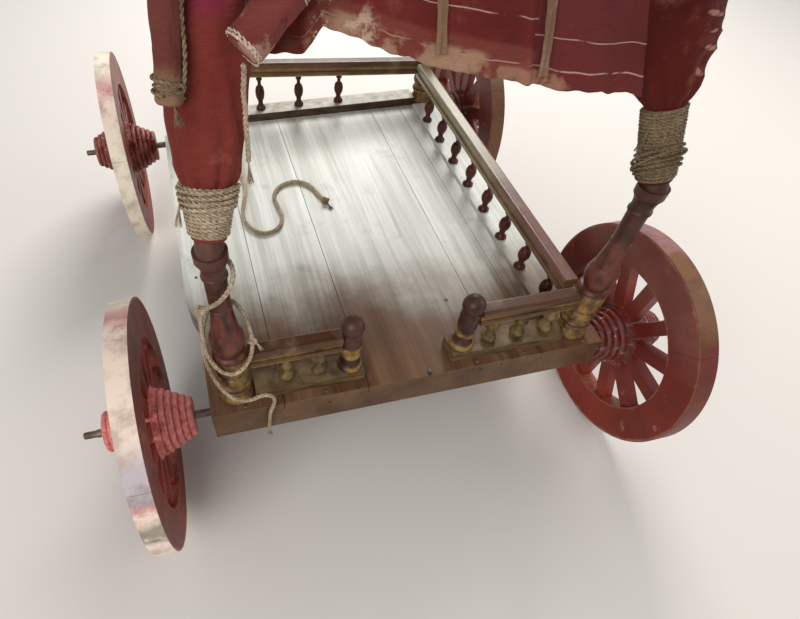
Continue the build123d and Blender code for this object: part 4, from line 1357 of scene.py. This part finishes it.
brace_foot = Vector((-0.2457, -0.3917, 0.7985))
brace_head = Vector((-0.0800, -0.3180, 0.9250))
curtain_foot = Vector((-0.3195, -0.3946, 0.7550))
curtain_head = Vector((-0.2883, -0.3251, 0.9350))
rolled("brace_cloth", brace_foot, brace_head, reach_foot=0.0178, reach_head=0.0185, wraps=5, seed=2,
       stands_for="brace_left", finish=brace_paint)
rolled("curtain_cloth", curtain_foot, curtain_head, reach_foot=0.0120, reach_head=0.0155, wraps=2, seed=4,
       stands_for="curtain_roll_left", finish=curtain_paint)


# %% String wound round a roll
def winding(foot, head, low, high, turns, reach, string, seed):
    """String wound round a straight roll from low to high, as shares of the way along it."""
    run = head - foot
    axis = run.normalized()
    across = (Vector((1, 0, 0)) - axis * axis.x).normalized()
    behind = axis.cross(across)
    line = []
    steps = int(turns * 32)
    for n in range(steps + 1):
        share = n / steps
        angle = tau * turns * share
        along = low + (high - low) * share + 0.004 * rough((cos(angle), sin(angle), share * 5), 1.2, seed)
        far = reach + 0.0006 * rough((cos(angle) * 2, sin(angle) * 2, share * 9), 1.0, seed + 4)
        line.append(foot + run * along + (across * cos(angle) + behind * sin(angle)) * far)
    return strands(line, string, lay_pitch=0.012, strand_count=2, fuzz=0.2, sides=5)


# From, to, turns, reach, the string's radius, seed
cuffs = merged("brace_cuffs", [
    *winding(brace_foot, brace_head, 0.006, 0.034, 2.2, 0.0186, 0.0017, 1),
    *winding(brace_foot, brace_head, 0.300, 0.372, 4.2, 0.0194, 0.0012, 2),
])
hand_over(cuffs, pale_cord)
print("cuffs", len(cuffs.data.polygons), "faces")

# %% String on the rolled curtain
curtain_way = (curtain_head - curtain_foot).normalized()
side_string = []
for n in range(25):
    share = n / 24
    bow = Vector((0.0135, -0.006, 0)) + Vector((0.002, 0, 0)) * rough((share * 6, 0, 0), 1.0, 2)
    side_string.append(curtain_foot + curtain_way * (0.012 + 0.168 * share) + bow * (1.0 + 0.20 * share))
string_end = curtain_foot + Vector((0.004, -0.010, 0.004))
string_end_way = Vector((0.1, -0.2, -1)).normalized()
curtain_ties = merged("curtain_ties", [
    *winding(curtain_foot, curtain_head, 0.035, 0.120, 2.6, 0.0140, 0.0018, 5),
    *winding(curtain_foot, curtain_head, 0.150, 0.045, 1.7, 0.0150, 0.0020, 6),
    *winding(curtain_foot, curtain_head, 0.890, 0.960, 3, 0.0172, 0.0020, 7),
    *strands(side_string, rope_radius=0.0024, lay_pitch=0.014, strand_count=2, fuzz=0.25, sides=5),
    *frayed_end(string_end, string_end_way, length=0.016, spread=0.008, count=18, seed=9),
])
hand_over(curtain_ties, shaded_jute)
print("curtain ties", len(curtain_ties.data.polygons), "faces")

# %% Twine hanging from the brace
hanging_route = [
    (-0.2440, -0.3860, 0.7830), (-0.2445, -0.3845, 0.7700), (-0.2470, -0.3835, 0.7540),
    (-0.2460, -0.3840, 0.7360), (-0.2480, -0.3835, 0.7180), (-0.2470, -0.3840, 0.6980),
    (-0.2485, -0.3835, 0.6760),
]
hanging_thickness = 0.006
hanging_line = spline_line("hanging_twine", hanging_route)
hanging_length = length_of(hanging_line)
hanging_twine = merged("hanging_twine", strands(
    hanging_line, rope_radius=hanging_thickness / 2, lay_pitch=0.018, fuzz=0.3))
hanging_way = Vector((0.02, -0.05, -1)).normalized()
hanging_fray = merged("hanging_twine_fray", frayed_end(
    hanging_line[-1], hanging_way, length=0.022, spread=0.007, count=22, seed=6))
for piece in (hanging_twine, hanging_fray):
    hand_over(piece, jute)
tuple(hanging_route[0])
print("hanging twine", round(hanging_length, 3))

# %% [markdown]
# ## Nails
# The boards are nailed to the beams and the side boards. One nail head is made, a low dome from a
# flattened sphere with its underside cut away, and copied to each place.

# %% One nail head
nail_radius = 0.0034
nail_flattening = 0.42
bpy.ops.object.select_all(action="DESELECT")
bpy.ops.mesh.primitive_uv_sphere_add(segments=12, ring_count=8, radius=nail_radius, location=(0, 0, 0))
nail = bpy.context.object
nail.scale = (1.0, 1.0, nail_flattening)
bpy.ops.object.transform_apply(location=False, rotation=False, scale=True)
bpy.ops.object.mode_set(mode="EDIT")
bpy.ops.mesh.select_all(action="SELECT")
bpy.ops.mesh.bisect(plane_co=(0, 0, -0.0002), plane_no=(0, 0, 1), clear_inner=True, use_fill=True)
bpy.ops.object.mode_set(mode="OBJECT")
bpy.ops.object.shade_smooth()
print("nail head", len(nail.data.polygons), "faces")

# %% Nails in their places
deck_height = 0.263
nail_places = [(x, y, deck_height) for y in (-0.441, 0.421)
               for x in (-0.300, -0.163, 0.023, 0.112, 0.205, 0.322)]
nail_places += [(x, y, deck_height) for x in (-0.348, 0.348) for y in (-0.33, -0.13, 0.07, 0.27)]
heads = []
for place in nail_places:
    head = nail.copy()
    head.data = nail.data.copy()
    head.data.transform(Matrix.Translation(place))
    bpy.context.scene.collection.objects.link(head)
    heads.append(head)
bpy.data.objects.remove(nail)
deck_nails = joined("deck_nails", heads)
hand_over(deck_nails, rod_iron)
print("nails", len(nail_places))

# %% [markdown]
# ## Floor and light
# The cart stands on a plain pale floor under three large soft lamps. The strongest is behind it, so
# that the deck's rear is bright and its front edge lies in shade. Large lamps suit worn paint and
# cloth: a small hard one would put a glint on what is dull.

# %% Floor
bpy.ops.object.select_all(action="DESELECT")
bpy.ops.mesh.primitive_plane_add(size=14.0, location=(0, 0, -0.0005))
floor = bpy.context.object
floor.name = "floor"
floor_finish = Finish("floor_finish", roughness=0.9)
floor_finish.shader.inputs["Base Color"].default_value = (0.72, 0.69, 0.65, 1.0)
dress(floor, floor_finish.material)
print("floor", round(floor.dimensions.x, 1), "m wide")

# %% Lamps and world
warm_white = (1.0, 0.98, 0.95)


def lamp(name, place, target, size, power, colour):
    """A square lamp that faces its target."""
    data = bpy.data.lights.new(name, "AREA")
    data.shape = "SQUARE"
    data.size = size
    data.energy = power
    data.color = colour
    light = bpy.data.objects.new(name, data)
    light.location = place
    light.rotation_euler = (Vector(target) - Vector(place)).to_track_quat("-Z", "Y").to_euler()
    bpy.context.scene.collection.objects.link(light)
    print("lamp", name, power, "W")


lamp("key", (0.95, 2.3, 2.35), (0, 0.1, 0.2), size=1.5, power=95, colour=warm_white)
lamp("fill", (-1.6, -2.2, 2.0), (0, 0, 0.3), size=1.8, power=48, colour=warm_white)
lamp("side", (2.4, -0.6, 1.4), (0, 0, 0.3), size=1.4, power=16, colour=(1.0, 0.95, 0.88))
world = bpy.data.worlds.new("studio")
world.use_nodes = True
background = world.node_tree.nodes["Background"].inputs
background["Color"].default_value = (0.9, 0.9, 0.92, 1.0)
background["Strength"].default_value = 0.45
bpy.context.scene.world = world
bpy.context.scene.view_settings.view_transform = "Standard"
